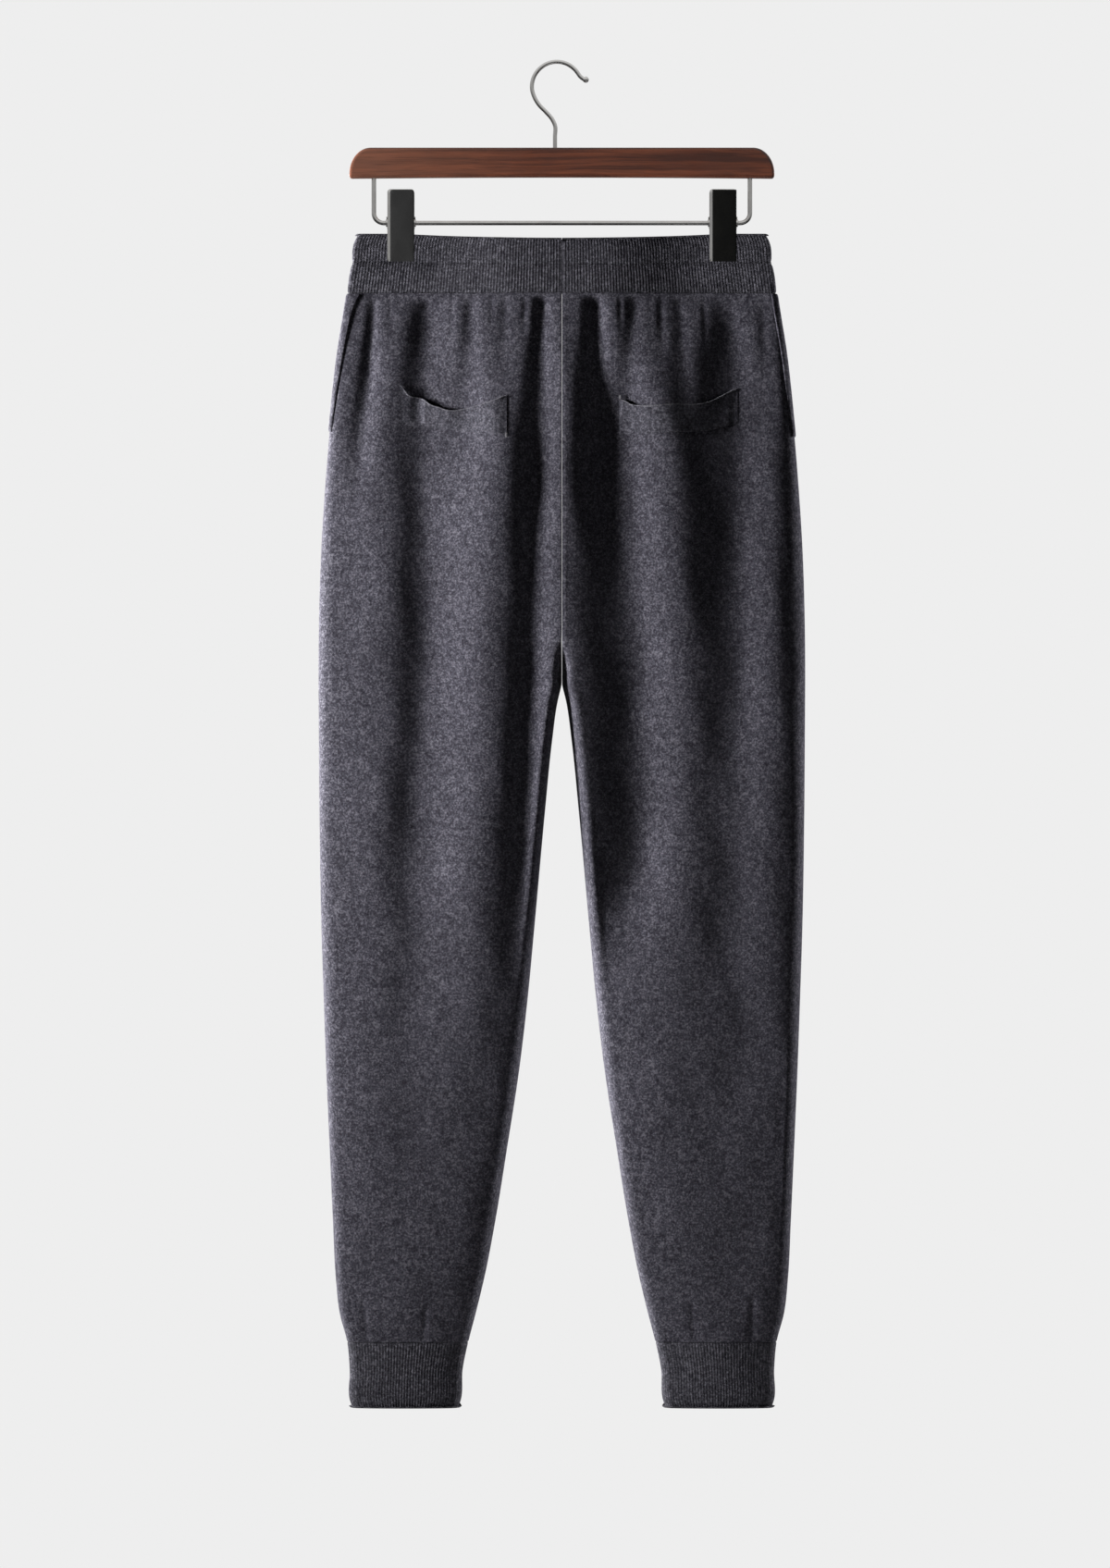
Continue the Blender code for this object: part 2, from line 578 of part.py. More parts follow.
def add_facing(name, side, facings, tree, material, parent):
    """Add a side pocket's edge, turned from the side seam onto the back."""
    zs = np.linspace(facings[0].z, facings[-1].z, FACING_ROWS + 1)
    reaches = through(*column(facings, "reach"), zs)
    rows = []
    for z, reach in zip(zs, reaches):
        width = size_at("outer", z) - SEAM_GAP / 2
        even = np.linspace(0.0, 1.0, FACING_COLUMNS + 1)
        shares = (FACING_START + (1.0 - FACING_START) * even**FACING_CROWDING) * reach / width
        rows.append(cloth_points(side, -1, shares, z, BACK_FOLDS))
    grid = np.array(rows)
    normals = normals_of(grid, np.array([side, -1.0, 0.0]))
    lifts = np.full(grid.shape[:2], FACING_LIFT)
    inner = laid_on(tree, grid, normals, lifts)
    outer = laid_on(tree, grid, normals, lifts + FACING_WALL)
    return wall(name, outer, inner, material, parent)


def add_garment(parent):
    """Add every cloth piece."""
    knit = finish("charcoal_knit", (0.060, 0.058, 0.072), 0.95)
    rib = finish("charcoal_rib", (0.052, 0.051, 0.060), 0.95)
    add_waistband(rib, parent)
    for side, label in ((-1, "left"), (1, "right")):
        for face, folds, part in ((-1, BACK_FOLDS, "back"), (1, FRONT_FOLDS, "front")):
            outer, inner = panel_grids(side, face, folds)
            panel = wall(f"{part}_{label}", outer, inner, knit, parent)
            if part == "back":
                tree = tree_of(panel)
        mouths = WELT_LEFT if side < 0 else WELT_RIGHT
        facings = FACING_LEFT if side < 0 else FACING_RIGHT
        add_welt(f"back_pocket_welt_{label}", mouths, tree, knit, parent)
        add_facing(f"side_pocket_edge_{label}", side, facings, tree, knit, parent)
        add_cuff(f"cuff_{label}", side, rib, parent)


# ------------------------------------------------------------------ the hanger
def boxed(name, low, high, material, parent, bevel=0.0, segments=1):
    """Return a box between two corners, with its edges bevelled."""
    work = bmesh.new()
    bmesh.ops.create_cube(work, size=1.0)
    for vertex in work.verts:
        vertex.co = Vector([low[k] + (vertex.co[k] + 0.5) * (high[k] - low[k]) for k in range(3)])
    if bevel:
        bmesh.ops.bevel(work, geom=work.edges[:], offset=bevel, segments=segments,
                        profile=0.5, affect="EDGES")
    mesh = bpy.data.meshes.new(name)
    work.to_mesh(mesh)
    work.free()
    mesh.materials.append(material)
    mesh.shade_smooth()
    mesh.set_sharp_from_angle(angle=math.radians(40))
    obj = bpy.data.objects.new(name, mesh)
    obj.parent = parent
    bpy.context.scene.collection.objects.link(obj)
    return obj


def rod(name, start, stop, radius, sides, material, parent):
    """Return a round bar between two points."""
    axis = Vector(stop) - Vector(start)
    work = bmesh.new()
    bmesh.ops.create_cone(work, cap_ends=True, segments=sides, radius1=radius, radius2=radius,
                          depth=axis.length)
    turn = Vector((0, 0, 1)).rotation_difference(axis).to_matrix().to_4x4()
    bmesh.ops.transform(work, matrix=turn, verts=work.verts)
    bmesh.ops.translate(work, vec=(Vector(start) + Vector(stop)) / 2, verts=work.verts)
    mesh = bpy.data.meshes.new(name)
    work.to_mesh(mesh)
    work.free()
    mesh.materials.append(material)
    mesh.shade_smooth()
    mesh.set_sharp_from_angle(angle=math.radians(40))
    obj = bpy.data.objects.new(name, mesh)
    obj.parent = parent
    bpy.context.scene.collection.objects.link(obj)
    return obj


def combine(target, tool, operation):
    """Join a tool shape to the target, or cut it away, and keep the tool out of view."""
    modifier = target.modifiers.new(tool.name, "BOOLEAN")
    modifier.operation = operation
    modifier.object = tool
    modifier.solver = "EXACT"
    tool.hide_render = True
    tool.display_type = "WIRE"


def wire(name, points, radii, material, parent):
    """Return a round wire along points in the hanger's plane."""
    curve = bpy.data.curves.new(name, "CURVE")
    curve.dimensions = "3D"
    curve.bevel_depth = 1.0
    curve.bevel_resolution = 2
    curve.use_fill_caps = True
    spline = curve.splines.new("POLY")
    spline.points.add(len(points) - 1)
    for point, (x, z), radius in zip(spline.points, points, radii):
        point.co = (x, 0.0, z, 1.0)
        point.radius = radius
    curve.materials.append(material)
    obj = bpy.data.objects.new(name, curve)
    obj.parent = parent
    bpy.context.scene.collection.objects.link(obj)
    return obj


def arc(centre, radius, first, last, count):
    """Return points along an arc, its angles in degrees from +X towards +Z."""
    angles = np.radians(np.linspace(first, last, count))
    return [(centre[0] + radius * math.cos(a), centre[1] + radius * math.sin(a)) for a in angles]


def hook_line():
    """Return the hook's centre line: stem, sweep to the left, round crown and flared tip."""
    crown = (0.0, -HOOK_RADIUS + HOOK_WIRE)
    foot = (HOOK_STEM_X, BAR_TOP - HOOK_DEPTH_IN_BAR)
    neck = (HOOK_STEM_X, BAR_TOP + 0.0200)
    stem = [foot, (HOOK_STEM_X, BAR_TOP - 0.004), (HOOK_STEM_X, BAR_TOP + 0.010), neck]
    return stem + list(HOOK_SWEEP) + arc(crown, HOOK_RADIUS, *HOOK_CROWN, 19) + list(HOOK_TIP)


def add_bar(material, parent):
    """Add the wooden bar with its rounded shoulders and the bores for hook and rail."""
    length = BAR_HALF_LENGTH
    right = [(length - BAR_SHOULDER * (1.0 - math.sin(angle)),
              BAR_TOP - BAR_SHOULDER_DROP * (1.0 - math.cos(angle)))
             for angle in np.linspace(0.0, math.pi / 2, 8)]
    under = [(x, BAR_BOTTOM + BAR_ARCH * (1.0 - (x / length) ** 2))
             for x in np.linspace(length, -length, 9)]
    left = [(-x, z) for x, z in reversed(right)]
    outline = right + under + left
    work = bmesh.new()
    near = [work.verts.new((x, -BAR_DEPTH / 2, z)) for x, z in outline]
    face = work.faces.new(near)
    grown = bmesh.ops.extrude_face_region(work, geom=[face])
    far = [item for item in grown["geom"] if isinstance(item, bmesh.types.BMVert)]
    bmesh.ops.translate(work, vec=(0.0, BAR_DEPTH, 0.0), verts=far)
    bmesh.ops.recalc_face_normals(work, faces=work.faces)
    mesh = bpy.data.meshes.new("hanger_bar")
    work.to_mesh(mesh)
    work.free()
    mesh.materials.append(material)
    mesh.shade_smooth()
    mesh.set_sharp_from_angle(angle=math.radians(40))
    bar = bpy.data.objects.new("hanger_bar", mesh)
    bar.parent = parent
    bpy.context.scene.collection.objects.link(bar)
    soft = bar.modifiers.new("soft_edges", "BEVEL")
    soft.width = BAR_EDGE
    soft.segments = 2
    soft.limit_method = "ANGLE"
    soft.angle_limit = math.radians(BAR_EDGE_TURN)
    stem_x = HOOK_STEM_X - BAR_X
    hook_end = BAR_TOP - HOOK_DEPTH_IN_BAR - BORE_PLAY
    rail_end = BAR_BOTTOM + RAIL_DEPTH_IN_BAR + BORE_PLAY
    bores = (
        ("hook_bore", stem_x, BAR_TOP + BAR_EDGE, hook_end, HOOK_WIRE),
        ("rail_bore_left", -RAIL_X, BAR_BOTTOM - BAR_EDGE, rail_end, RAIL_WIRE),
        ("rail_bore_right", RAIL_X, BAR_BOTTOM - BAR_EDGE, rail_end, RAIL_WIRE),
    )
    for name, x, start, stop, radius in bores:
        cutter = rod(name, (x, 0.0, start), (x, 0.0, stop), radius + BORE_CLEARANCE, 16,
                     material, parent)
        combine(bar, cutter, "DIFFERENCE")


def add_rail(material, parent):
    """Add the wire rail that hangs from both ends of the bar and carries the clips."""
    top = BAR_BOTTOM + RAIL_DEPTH_IN_BAR
    bend_z = RAIL_Z + RAIL_BEND
    left = [(-RAIL_X, top), (-RAIL_X, (top + bend_z) / 2)]
    left += arc((-RAIL_X + RAIL_BEND, bend_z), RAIL_BEND, 180.0, 270.0, 7)
    right = [(-x, z) for x, z in reversed(left)]
    points = left + right
    return wire("hanger_rail", points, [RAIL_WIRE] * len(points), material, parent)


def add_clip(label, side, steel, cover, grip, parent):
    """Add one clip: two sprung steel jaws on a barrel, their covers and their grips."""
    x = side * CLIP_X
    half = CLIP_WIDTH / 2
    inner = JAW_OUTER - JAW_WALL
    frame = boxed(f"clip_{label}_frame", (x - half, -JAW_OUTER, CLIP_BOTTOM),
                  (x + half, -inner, CLIP_TOP), steel, parent)
    front = boxed(f"clip_{label}_front_jaw", (x - half, inner, CLIP_BOTTOM),
                  (x + half, JAW_OUTER, CLIP_TOP), steel, parent)
    barrel = rod(f"clip_{label}_barrel", (x - BARREL_LENGTH / 2, 0.0, RAIL_Z),
                 (x + BARREL_LENGTH / 2, 0.0, RAIL_Z), BARREL_RADIUS, 16, steel, parent)
    bore = rod(f"clip_{label}_bore", (x - BARREL_LENGTH, 0.0, RAIL_Z),
               (x + BARREL_LENGTH, 0.0, RAIL_Z), RAIL_WIRE + BORE_CLEARANCE, 12, steel, parent)
    combine(frame, barrel, "UNION")
    combine(frame, front, "UNION")
    combine(frame, bore, "DIFFERENCE")
    face_x = x + half - FACE_WIDTH
    pressed = WAISTBAND_WALL + 2 * SEAM_GAP
    for face, part in ((-1, "back"), (1, "front")):
        ys = sorted((face * (JAW_OUTER + SEAM_GAP), face * (JAW_OUTER + SEAM_GAP + FACE_WALL)))
        boxed(f"clip_{label}_cover_{part}", (face_x, ys[0], CLIP_BOTTOM - COVER_PROUD),
              (x + half, ys[1], CLIP_TOP + COVER_PROUD), cover, parent, bevel=COVER_EDGE)
        ys = sorted((face * pressed, face * (inner - SEAM_GAP)))
        boxed(f"clip_{label}_grip_{part}", (x - half + GRIP_INSET, ys[0], GRIP_BOTTOM),
              (x + half - GRIP_INSET, ys[1], GRIP_TOP), grip, parent, bevel=GRIP_EDGE)


def add_hanger(parent):
    """Add the clip hanger."""
    wood = finish("mahogany_wood", (0.120, 0.035, 0.020), 0.35)
    chrome = finish("chrome_wire", (0.62, 0.61, 0.60), 0.12, 1.0)
    cover = finish("clip_cover", (0.018, 0.018, 0.018), 0.35)
    grip = finish("clip_grip", (0.010, 0.010, 0.010), 0.80)
    add_bar(wood, parent)
    line = hook_line()
    radii = [HOOK_WIRE] * (len(line) - len(HOOK_TIP_SWELLING))
    radii += [HOOK_WIRE * swelling for swelling in HOOK_TIP_SWELLING]
    wire("hanger_hook", line, radii, chrome, None)
    add_rail(chrome, parent)
    for side, label in ((-1, "left"), (1, "right")):
        add_clip(label, side, chrome, cover, grip, parent)


def main():
    """Build the joggers and their hanger."""
    clear_scene()
    hung = bpy.data.objects.new("hung_centre", None)
    hung.location = (BAR_X, 0.0, 0.0)
    bpy.context.scene.collection.objects.link(hung)
    add_garment(hung)
    add_hanger(hung)
    bpy.context.view_layer.update()


main()
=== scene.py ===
"""Knitted joggers on a wooden clip hanger: the fine form and finish of every surface.

Metres, +Z up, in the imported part's frame. The origin is the top of the inside of the hook, the
garment's back faces -Y and the wearer's left is -X. Each cloth piece is a thin shell on the
form of its solid: the same sections and folds at finer steps, with creases, seams and ribs.
"""
from __future__ import annotations

import logging
import math
from dataclasses import dataclass, field
from enum import Enum
from typing import NamedTuple, Sequence

import bpy
import numpy as np
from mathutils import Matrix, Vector

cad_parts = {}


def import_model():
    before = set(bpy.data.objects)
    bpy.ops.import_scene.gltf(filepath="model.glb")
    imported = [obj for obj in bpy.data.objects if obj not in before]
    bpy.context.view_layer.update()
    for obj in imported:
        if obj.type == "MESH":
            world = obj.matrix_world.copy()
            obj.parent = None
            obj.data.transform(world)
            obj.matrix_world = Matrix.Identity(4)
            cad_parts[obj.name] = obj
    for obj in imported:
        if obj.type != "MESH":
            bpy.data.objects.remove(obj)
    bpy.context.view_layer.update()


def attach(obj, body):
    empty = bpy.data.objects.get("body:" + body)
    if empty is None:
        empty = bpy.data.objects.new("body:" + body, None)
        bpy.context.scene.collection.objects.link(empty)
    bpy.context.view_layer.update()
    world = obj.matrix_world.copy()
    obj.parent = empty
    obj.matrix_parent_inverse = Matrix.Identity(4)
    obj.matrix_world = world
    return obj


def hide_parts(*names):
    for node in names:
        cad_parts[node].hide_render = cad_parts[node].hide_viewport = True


LOG = logging.getLogger("joggers")
Array = np.ndarray
Colour = tuple[float, float, float]
Material = bpy.types.Material
Node = bpy.types.Node
Piece = bpy.types.Object
Socket = bpy.types.NodeSocket
Tree = bpy.types.NodeTree
BODY = "root"
SEAM_GAP = 0.0003
LOW_CORNER = 0.0008       # the clips' lower corners are this tight at the most
HUNG_X = 0.0044           # the bar and the garment hang this far right of the hook's seat
HUNG = np.array([HUNG_X, 0.0, 0.0])


# ---- named options
class Labelled(Enum):
    """A choice with a plain name."""

    @property
    def label(self) -> str:
        """The choice's plain name."""
        return self.name.lower()


class Side(Labelled):
    """The wearer's side, as its sign along X."""

    LEFT = -1
    RIGHT = 1


class Face(Labelled):
    """The garment's face, as its sign along Y."""

    BACK = -1
    FRONT = 1


class Slot(Enum):
    """The record's material slots."""

    PLAIN_KNIT = "plain_knit"
    RIB_KNIT = "rib_knit"
    BAR_WOOD = "bar_wood"
    WIRE_CHROME = "wire_chrome"
    CLIP_COVER = "clip_cover"
    CLIP_GRIP = "clip_grip"


# ---- rows of the sizes' tables
class Section(NamedTuple):
    """The garment's half sizes at a height, and the radius of its rolled edges."""

    z: float
    outer: float
    inner: float
    depth: float
    edge: float


class Fold(NamedTuple):
    """A soft trough down the cloth, or a ridge if its depth is negative.

    It runs through four places between its two heights, it is left wide on its left flank and
    right wide on its right one, it starts with its top share of its depth, and it fades out
    from a share of its length on.
    """

    z_top: float
    z_low: float
    x_top: float
    x_upper: float
    x_lower: float
    x_low: float
    left: float
    right: float
    depth: float
    top: float
    fade: float


class Mouth(NamedTuple):
    """A back pocket at a place across it: where its cut, rim and sewn edge lie.

    The rim stands out by its lift, the panel behind it sinks by its hollow, and the welt as a
    whole stands proud of the panel.
    """

    x: float
    cut: float
    rim: float
    sewn: float
    lift: float
    hollow: float
    proud: float


class Reach(NamedTuple):
    """How far a side pocket's edge reaches from the side seam at a height."""

    z: float
    reach: float


class Cut(NamedTuple):
    """A cloth piece's flat cut: its width, its length and its area."""

    width: float
    length: float
    area: float


# ---- curves and grids
def ramp(value: Array | float) -> Array:
    """Ease from 0 to 1.

    Args:
        value: where along the way, clipped to 0 and 1.

    Returns:
        The eased value, flat at both ends.
    """
    value = np.clip(value, 0.0, 1.0)
    return value * value * (3.0 - 2.0 * value)


def through(places: Sequence[float], values: Sequence[float], at: Array) -> Array:
    """Read a smooth curve through points.

    Args:
        places: where the points are.
        values: the curve's values there.
        at: the places to read.

    Returns:
        The curve's values at those places.
    """
    order = np.argsort(places)
    places = np.asarray(places, float)[order]
    values = np.asarray(values, float)[order]
    slopes = np.gradient(values, places)
    at = np.clip(at, places[0], places[-1])
    k = np.clip(np.searchsorted(places, at, side="right") - 1, 0, len(places) - 2)
    span = places[k + 1] - places[k]
    u = (at - places[k]) / span
    return (
        values[k] * (2 * u**3 - 3 * u**2 + 1)
        + slopes[k] * span * (u**3 - 2 * u**2 + u)
        + values[k + 1] * (3 * u**2 - 2 * u**3)
        + slopes[k + 1] * span * (u**3 - u**2)
    )


def column(rows: Sequence[NamedTuple], name: str, place: str) -> tuple[list, list]:
    """Read a table.

    Args:
        rows: the table.
        name: the column that is read.
        place: the column that places its rows.

    Returns:
        The places and the values.
    """
    return [getattr(row, place) for row in rows], [getattr(row, name) for row in rows]


def rolled(distance: Array, radius: float | Array) -> Array:
    """Follow a quarter circle.

    Args:
        distance: how far from the edge.
        radius: the edge's radius.

    Returns:
        The height as a share of the radius, from 0 at the edge to 1.
    """
    u = np.clip(distance / radius, 0.0, 1.0)
    return np.sqrt(np.clip(1.0 - (1.0 - u) ** 2, 0.0, 1.0))


def lengths_along(line: Array) -> Array:
    """Measure a line.

    Args:
        line: its points.

    Returns:
        The length from the first point to each.
    """
    steps = np.linalg.norm(np.diff(line, axis=0), axis=1)
    return np.concatenate([[0.0], np.cumsum(steps)])


def points_at(lengths: Array, reach: Array, line: Array) -> Array:
    """Read a line at some lengths along it.

    Args:
        lengths: where it is read.
        reach: the length to each of its points.
        line: its points.

    Returns:
        A point for each length.
    """
    return np.stack([np.interp(lengths, reach, line[:, k]) for k in range(3)], axis=-1)


def normals_of(grid: Array, outward: Array) -> Array:
    """Find the normals of a grid of points.

    Args:
        grid: rows of points.
        outward: roughly the way out at each point, or everywhere.

    Returns:
        Unit normals on the outward side.
    """
    normals = np.cross(np.gradient(grid, axis=1), np.gradient(grid, axis=0))
    normals /= np.maximum(np.linalg.norm(normals, axis=2, keepdims=True), 1e-12)
    facing = np.sum(normals * outward, axis=2)
    return normals * np.sign(np.median(facing))


def way_out(points: Array) -> Array:
    """Find roughly the way out of a flattened ring, mostly to its front or back.

    Args:
        points: rows of points round the ring.

    Returns:
        The way out at each point.
    """
    middle = np.array([points[..., 0].mean(), 0.0, 0.0])
    return (points - middle) * np.array([0.05, 1.0, 0.0])


def graded(stops: Sequence[float], steps: Sequence[float]) -> Array:
    """Space places out, each stretch at its own step.

    Args:
        stops: the ends of the stretches, in order.
        steps: about how far apart the places of each stretch are.

    Returns:
        The places, the stops among them.
    """
    places = [np.array([stops[0]])]
    for start, stop, step in zip(stops, stops[1:], steps):
        count = max(1, round(abs(stop - start) / step))
        places.append(np.linspace(start, stop, count + 1)[1:])
    return np.concatenate(places)


def thinned(count: int, step: int) -> Array:
    """Pick every few of a row of points.

    Args:
        count: how many there are.
        step: how many are passed at a time.

    Returns:
        The picked numbers, both ends among them.
    """
    return np.unique(np.concatenate([np.arange(0, count, step), [count - 1]]))


# ---- meshes
@dataclass
class Fabric:
    """Points, faces and pattern places of one piece while it is built."""

    points: list[Array] = field(default_factory=list)
    places: list[Array] = field(default_factory=list)
    faces: list[tuple[int, ...]] = field(default_factory=list)
    count: int = 0

    def add_points(self, points: Array, places: Array | None = None) -> Array:
        """Add points.

        Args:
            points: an array of points of any shape.
            places: their pattern places, along the pattern's courses and wales.

        Returns:
            The new points' numbers, in the same shape.
        """
        flat = points.reshape(-1, 3)
        self.points.append(flat)
        flat_places = flat[:, (0, 2)] if places is None else places.reshape(-1, 2)
        self.places.append(flat_places)
        numbers = self.count + np.arange(len(flat)).reshape(points.shape[:-1])
        self.count += len(flat)
        return numbers

    def add_sheet(self, numbers: Array) -> None:
        """Fill a grid of point numbers with four-sided faces.

        Args:
            numbers: rows of point numbers.
        """
        corners = (numbers[:-1, :-1], numbers[:-1, 1:], numbers[1:, 1:], numbers[1:, :-1])
        self.faces += map(tuple, np.stack(corners, axis=-1).reshape(-1, 4).tolist())

    def add_ladder(self, one: Array, two: Array) -> None:
        """Join two lines of point numbers of any counts.

        Args:
            one: a line of point numbers.
            two: another.
        """
        i = j = 0
        one, two = one.tolist(), two.tolist()
        while i < len(one) - 1 or j < len(two) - 1:
            ahead = (i + 1) / (len(one) - 1) <= (j + 1) / (len(two) - 1)
            if j == len(two) - 1 or (i < len(one) - 1 and ahead):
                self.faces.append((one[i], one[i + 1], two[j]))
                i += 1
            else:
                self.faces.append((one[i], two[j + 1], two[j]))
                j += 1

    def add_wall(self, outer: Array, inner: Array, outer_places: Array,
                 inner_places: Array) -> None:
        """Add a closed wall between two grids of points.

        Args:
            outer: the grid of the face that shows.
            inner: the grid behind it, of any counts.
            outer_places: pattern places of the outer grid.
            inner_places: pattern places of the inner grid.
        """
        near = self.add_points(outer, outer_places)
        far = self.add_points(inner, inner_places)
        self.add_sheet(near)
        self.add_sheet(far[::-1])
        self.add_ladder(near[0][::-1], far[0][::-1])
        self.add_ladder(near[-1], far[-1])
        self.add_ladder(near[:, 0], far[:, 0])
        self.add_ladder(near[::-1, -1], far[::-1, -1])

    def add_tube(self, line: Array, radii: Sequence[float] | float, sides: int = 16) -> None:
        """Add a round wire with domed ends.

        Args:
            line: its centre line.
            radii: its radius, everywhere or at each point.
            sides: how many sides it has round it.
        """
        line = np.asarray(line, float)
        radii = np.broadcast_to(np.asarray(radii, float), (len(line),))
        ways = np.gradient(line, axis=0)
        ways /= np.linalg.norm(ways, axis=1, keepdims=True)
        side = np.cross(ways[0], (0.0, 1.0, 0.0) if abs(ways[0][1]) < 0.9 else (1.0, 0.0, 0.0))
        turns = np.linspace(0.0, 2 * math.pi, sides, endpoint=False)
        rings = []
        for point, way, radius in zip(line, ways, radii):
            side = side - way * np.dot(side, way)
            side = side / np.linalg.norm(side)
            other = np.cross(way, side)
            rings.append(point + radius * (np.outer(np.cos(turns), side)
                                           + np.outer(np.sin(turns), other)))
        numbers = self.add_points(np.array(rings))
        self.add_sheet(np.concatenate([numbers, numbers[:, :1]], axis=1))
        for ring, centre, way, radius, flip in (
            (numbers[0], line[0], -ways[0], radii[0], True),
            (numbers[-1], line[-1], ways[-1], radii[-1], False),
        ):
            tip = self.add_points((centre + way * radius * 0.45)[None, :])[0]
            ring = ring[::-1] if flip else ring
            self.faces += [(int(ring[k - 1]), int(ring[k]), int(tip)) for k in range(sides)]

    def finished(self, name: str, material: Material, sharp: float = 50.0,
                 node: str | None = None) -> Piece:
        """Turn the points and faces into a shown piece.

        Args:
            name: the piece's name.
            material: its finish.
            sharp: edges that turn by more degrees stay sharp.
            node: the solid whose place it takes, if any.

        Returns:
            The piece, riding on the part's body.
        """
        mesh = bpy.data.meshes.new(name)
        mesh.from_pydata(np.concatenate(self.points).tolist(), [], self.faces)
        layer = mesh.uv_layers.new(name="pattern")
        corners = np.empty(len(mesh.loops), dtype=np.int32)
        mesh.loops.foreach_get("vertex_index", corners)
        pattern = np.concatenate(self.places)[corners].astype(np.float32)
        layer.uv.foreach_set("vector", pattern.ravel())
        mesh.materials.append(material)
        if enclosed(mesh) < 0.0:
            mesh.flip_normals()
        piece = placed(bpy.data.objects.new(name, mesh), sharp)
        if node:
            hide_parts(node)
        return piece


def enclosed(mesh: bpy.types.Mesh) -> float:
    """Find the room that a mesh holds, less than nothing where its faces point inwards.

    Args:
        mesh: a closed mesh.

    Returns:
        Its signed volume.
    """
    mesh.calc_loop_triangles()
    numbers = np.empty(3 * len(mesh.loop_triangles), dtype=np.int32)
    mesh.loop_triangles.foreach_get("vertices", numbers)
    points = np.empty(3 * len(mesh.vertices), dtype=np.float32)
    mesh.vertices.foreach_get("co", points)
    one, two, three = (points.reshape(-1, 3).astype(float)[numbers.reshape(-1, 3)[:, k]]
                       for k in range(3))
    return float(np.einsum("ij,ij->", one, np.cross(two, three))) / 6.0


def placed(piece: Piece, sharp: float = 50.0) -> Piece:
    """Put a mesh piece in the scene, faces out, shaded smooth but for sharp edges.

    Args:
        piece: the piece.
        sharp: edges that turn by more degrees stay sharp.

    Returns:
        The same piece, riding on the part's body.
    """
    bpy.context.scene.collection.objects.link(piece)
    piece.data.shade_smooth()
    piece.data.set_sharp_from_angle(angle=math.radians(sharp))
    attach(piece, BODY)
    LOG.info("%s: %d faces", piece.name, len(piece.data.polygons))
    return piece


# ---- the garment's form
SECTIONS = (
    Section(-0.1480, 0.1766, 0.0000, 0.0098, 0.0045),
    Section(-0.1510, 0.1784, 0.0000, 0.0100, 0.0045),
    Section(-0.1731, 0.1826, 0.0000, 0.0108, 0.0046),
    Section(-0.1995, 0.1866, 0.0000, 0.0125, 0.0050),
    Section(-0.2180, 0.1894, 0.0000, 0.0160, 0.0058),
    Section(-0.2502, 0.1945, 0.0000, 0.0222, 0.0072),
    Section(-0.2984, 0.1999, 0.0000, 0.0280, 0.0085),
    Section(-0.3628, 0.2055, 0.0000, 0.0325, 0.0098),
    Section(-0.4272, 0.2095, 0.0000, 0.0345, 0.0110),
    Section(-0.4900, 0.2113, 0.0000, 0.0335, 0.0118),
    Section(-0.5381, 0.2116, 0.0000, 0.0312, 0.0120),
    Section(-0.5560, 0.2115, 0.0040, 0.0308, 0.0120),
    Section(-0.5880, 0.2113, 0.0084, 0.0306, 0.0120),
    Section(-0.6524, 0.2108, 0.0149, 0.0302, 0.0118),
    Section(-0.7489, 0.2092, 0.0237, 0.0288, 0.0112),
    Section(-0.8133, 0.2071, 0.0298, 0.0275, 0.0108),
    Section(-0.8776, 0.2048, 0.0375, 0.0262, 0.0104),
    Section(-0.9420, 0.2020, 0.0475, 0.0246, 0.0100),
    Section(-1.0063, 0.1991, 0.0579, 0.0230, 0.0096),
    Section(-1.0546, 0.1967, 0.0672, 0.0218, 0.0092),
    Section(-1.0868, 0.1931, 0.0750, 0.0202, 0.0088),
    Section(-1.1109, 0.1868, 0.0812, 0.0176, 0.0080),
    Section(-1.1350, 0.1846, 0.0861, 0.0160, 0.0075),
    Section(-1.1640, 0.1838, 0.0884, 0.0155, 0.0075),
    Section(-1.1680, 0.1822, 0.0900, 0.0145, 0.0068),
)
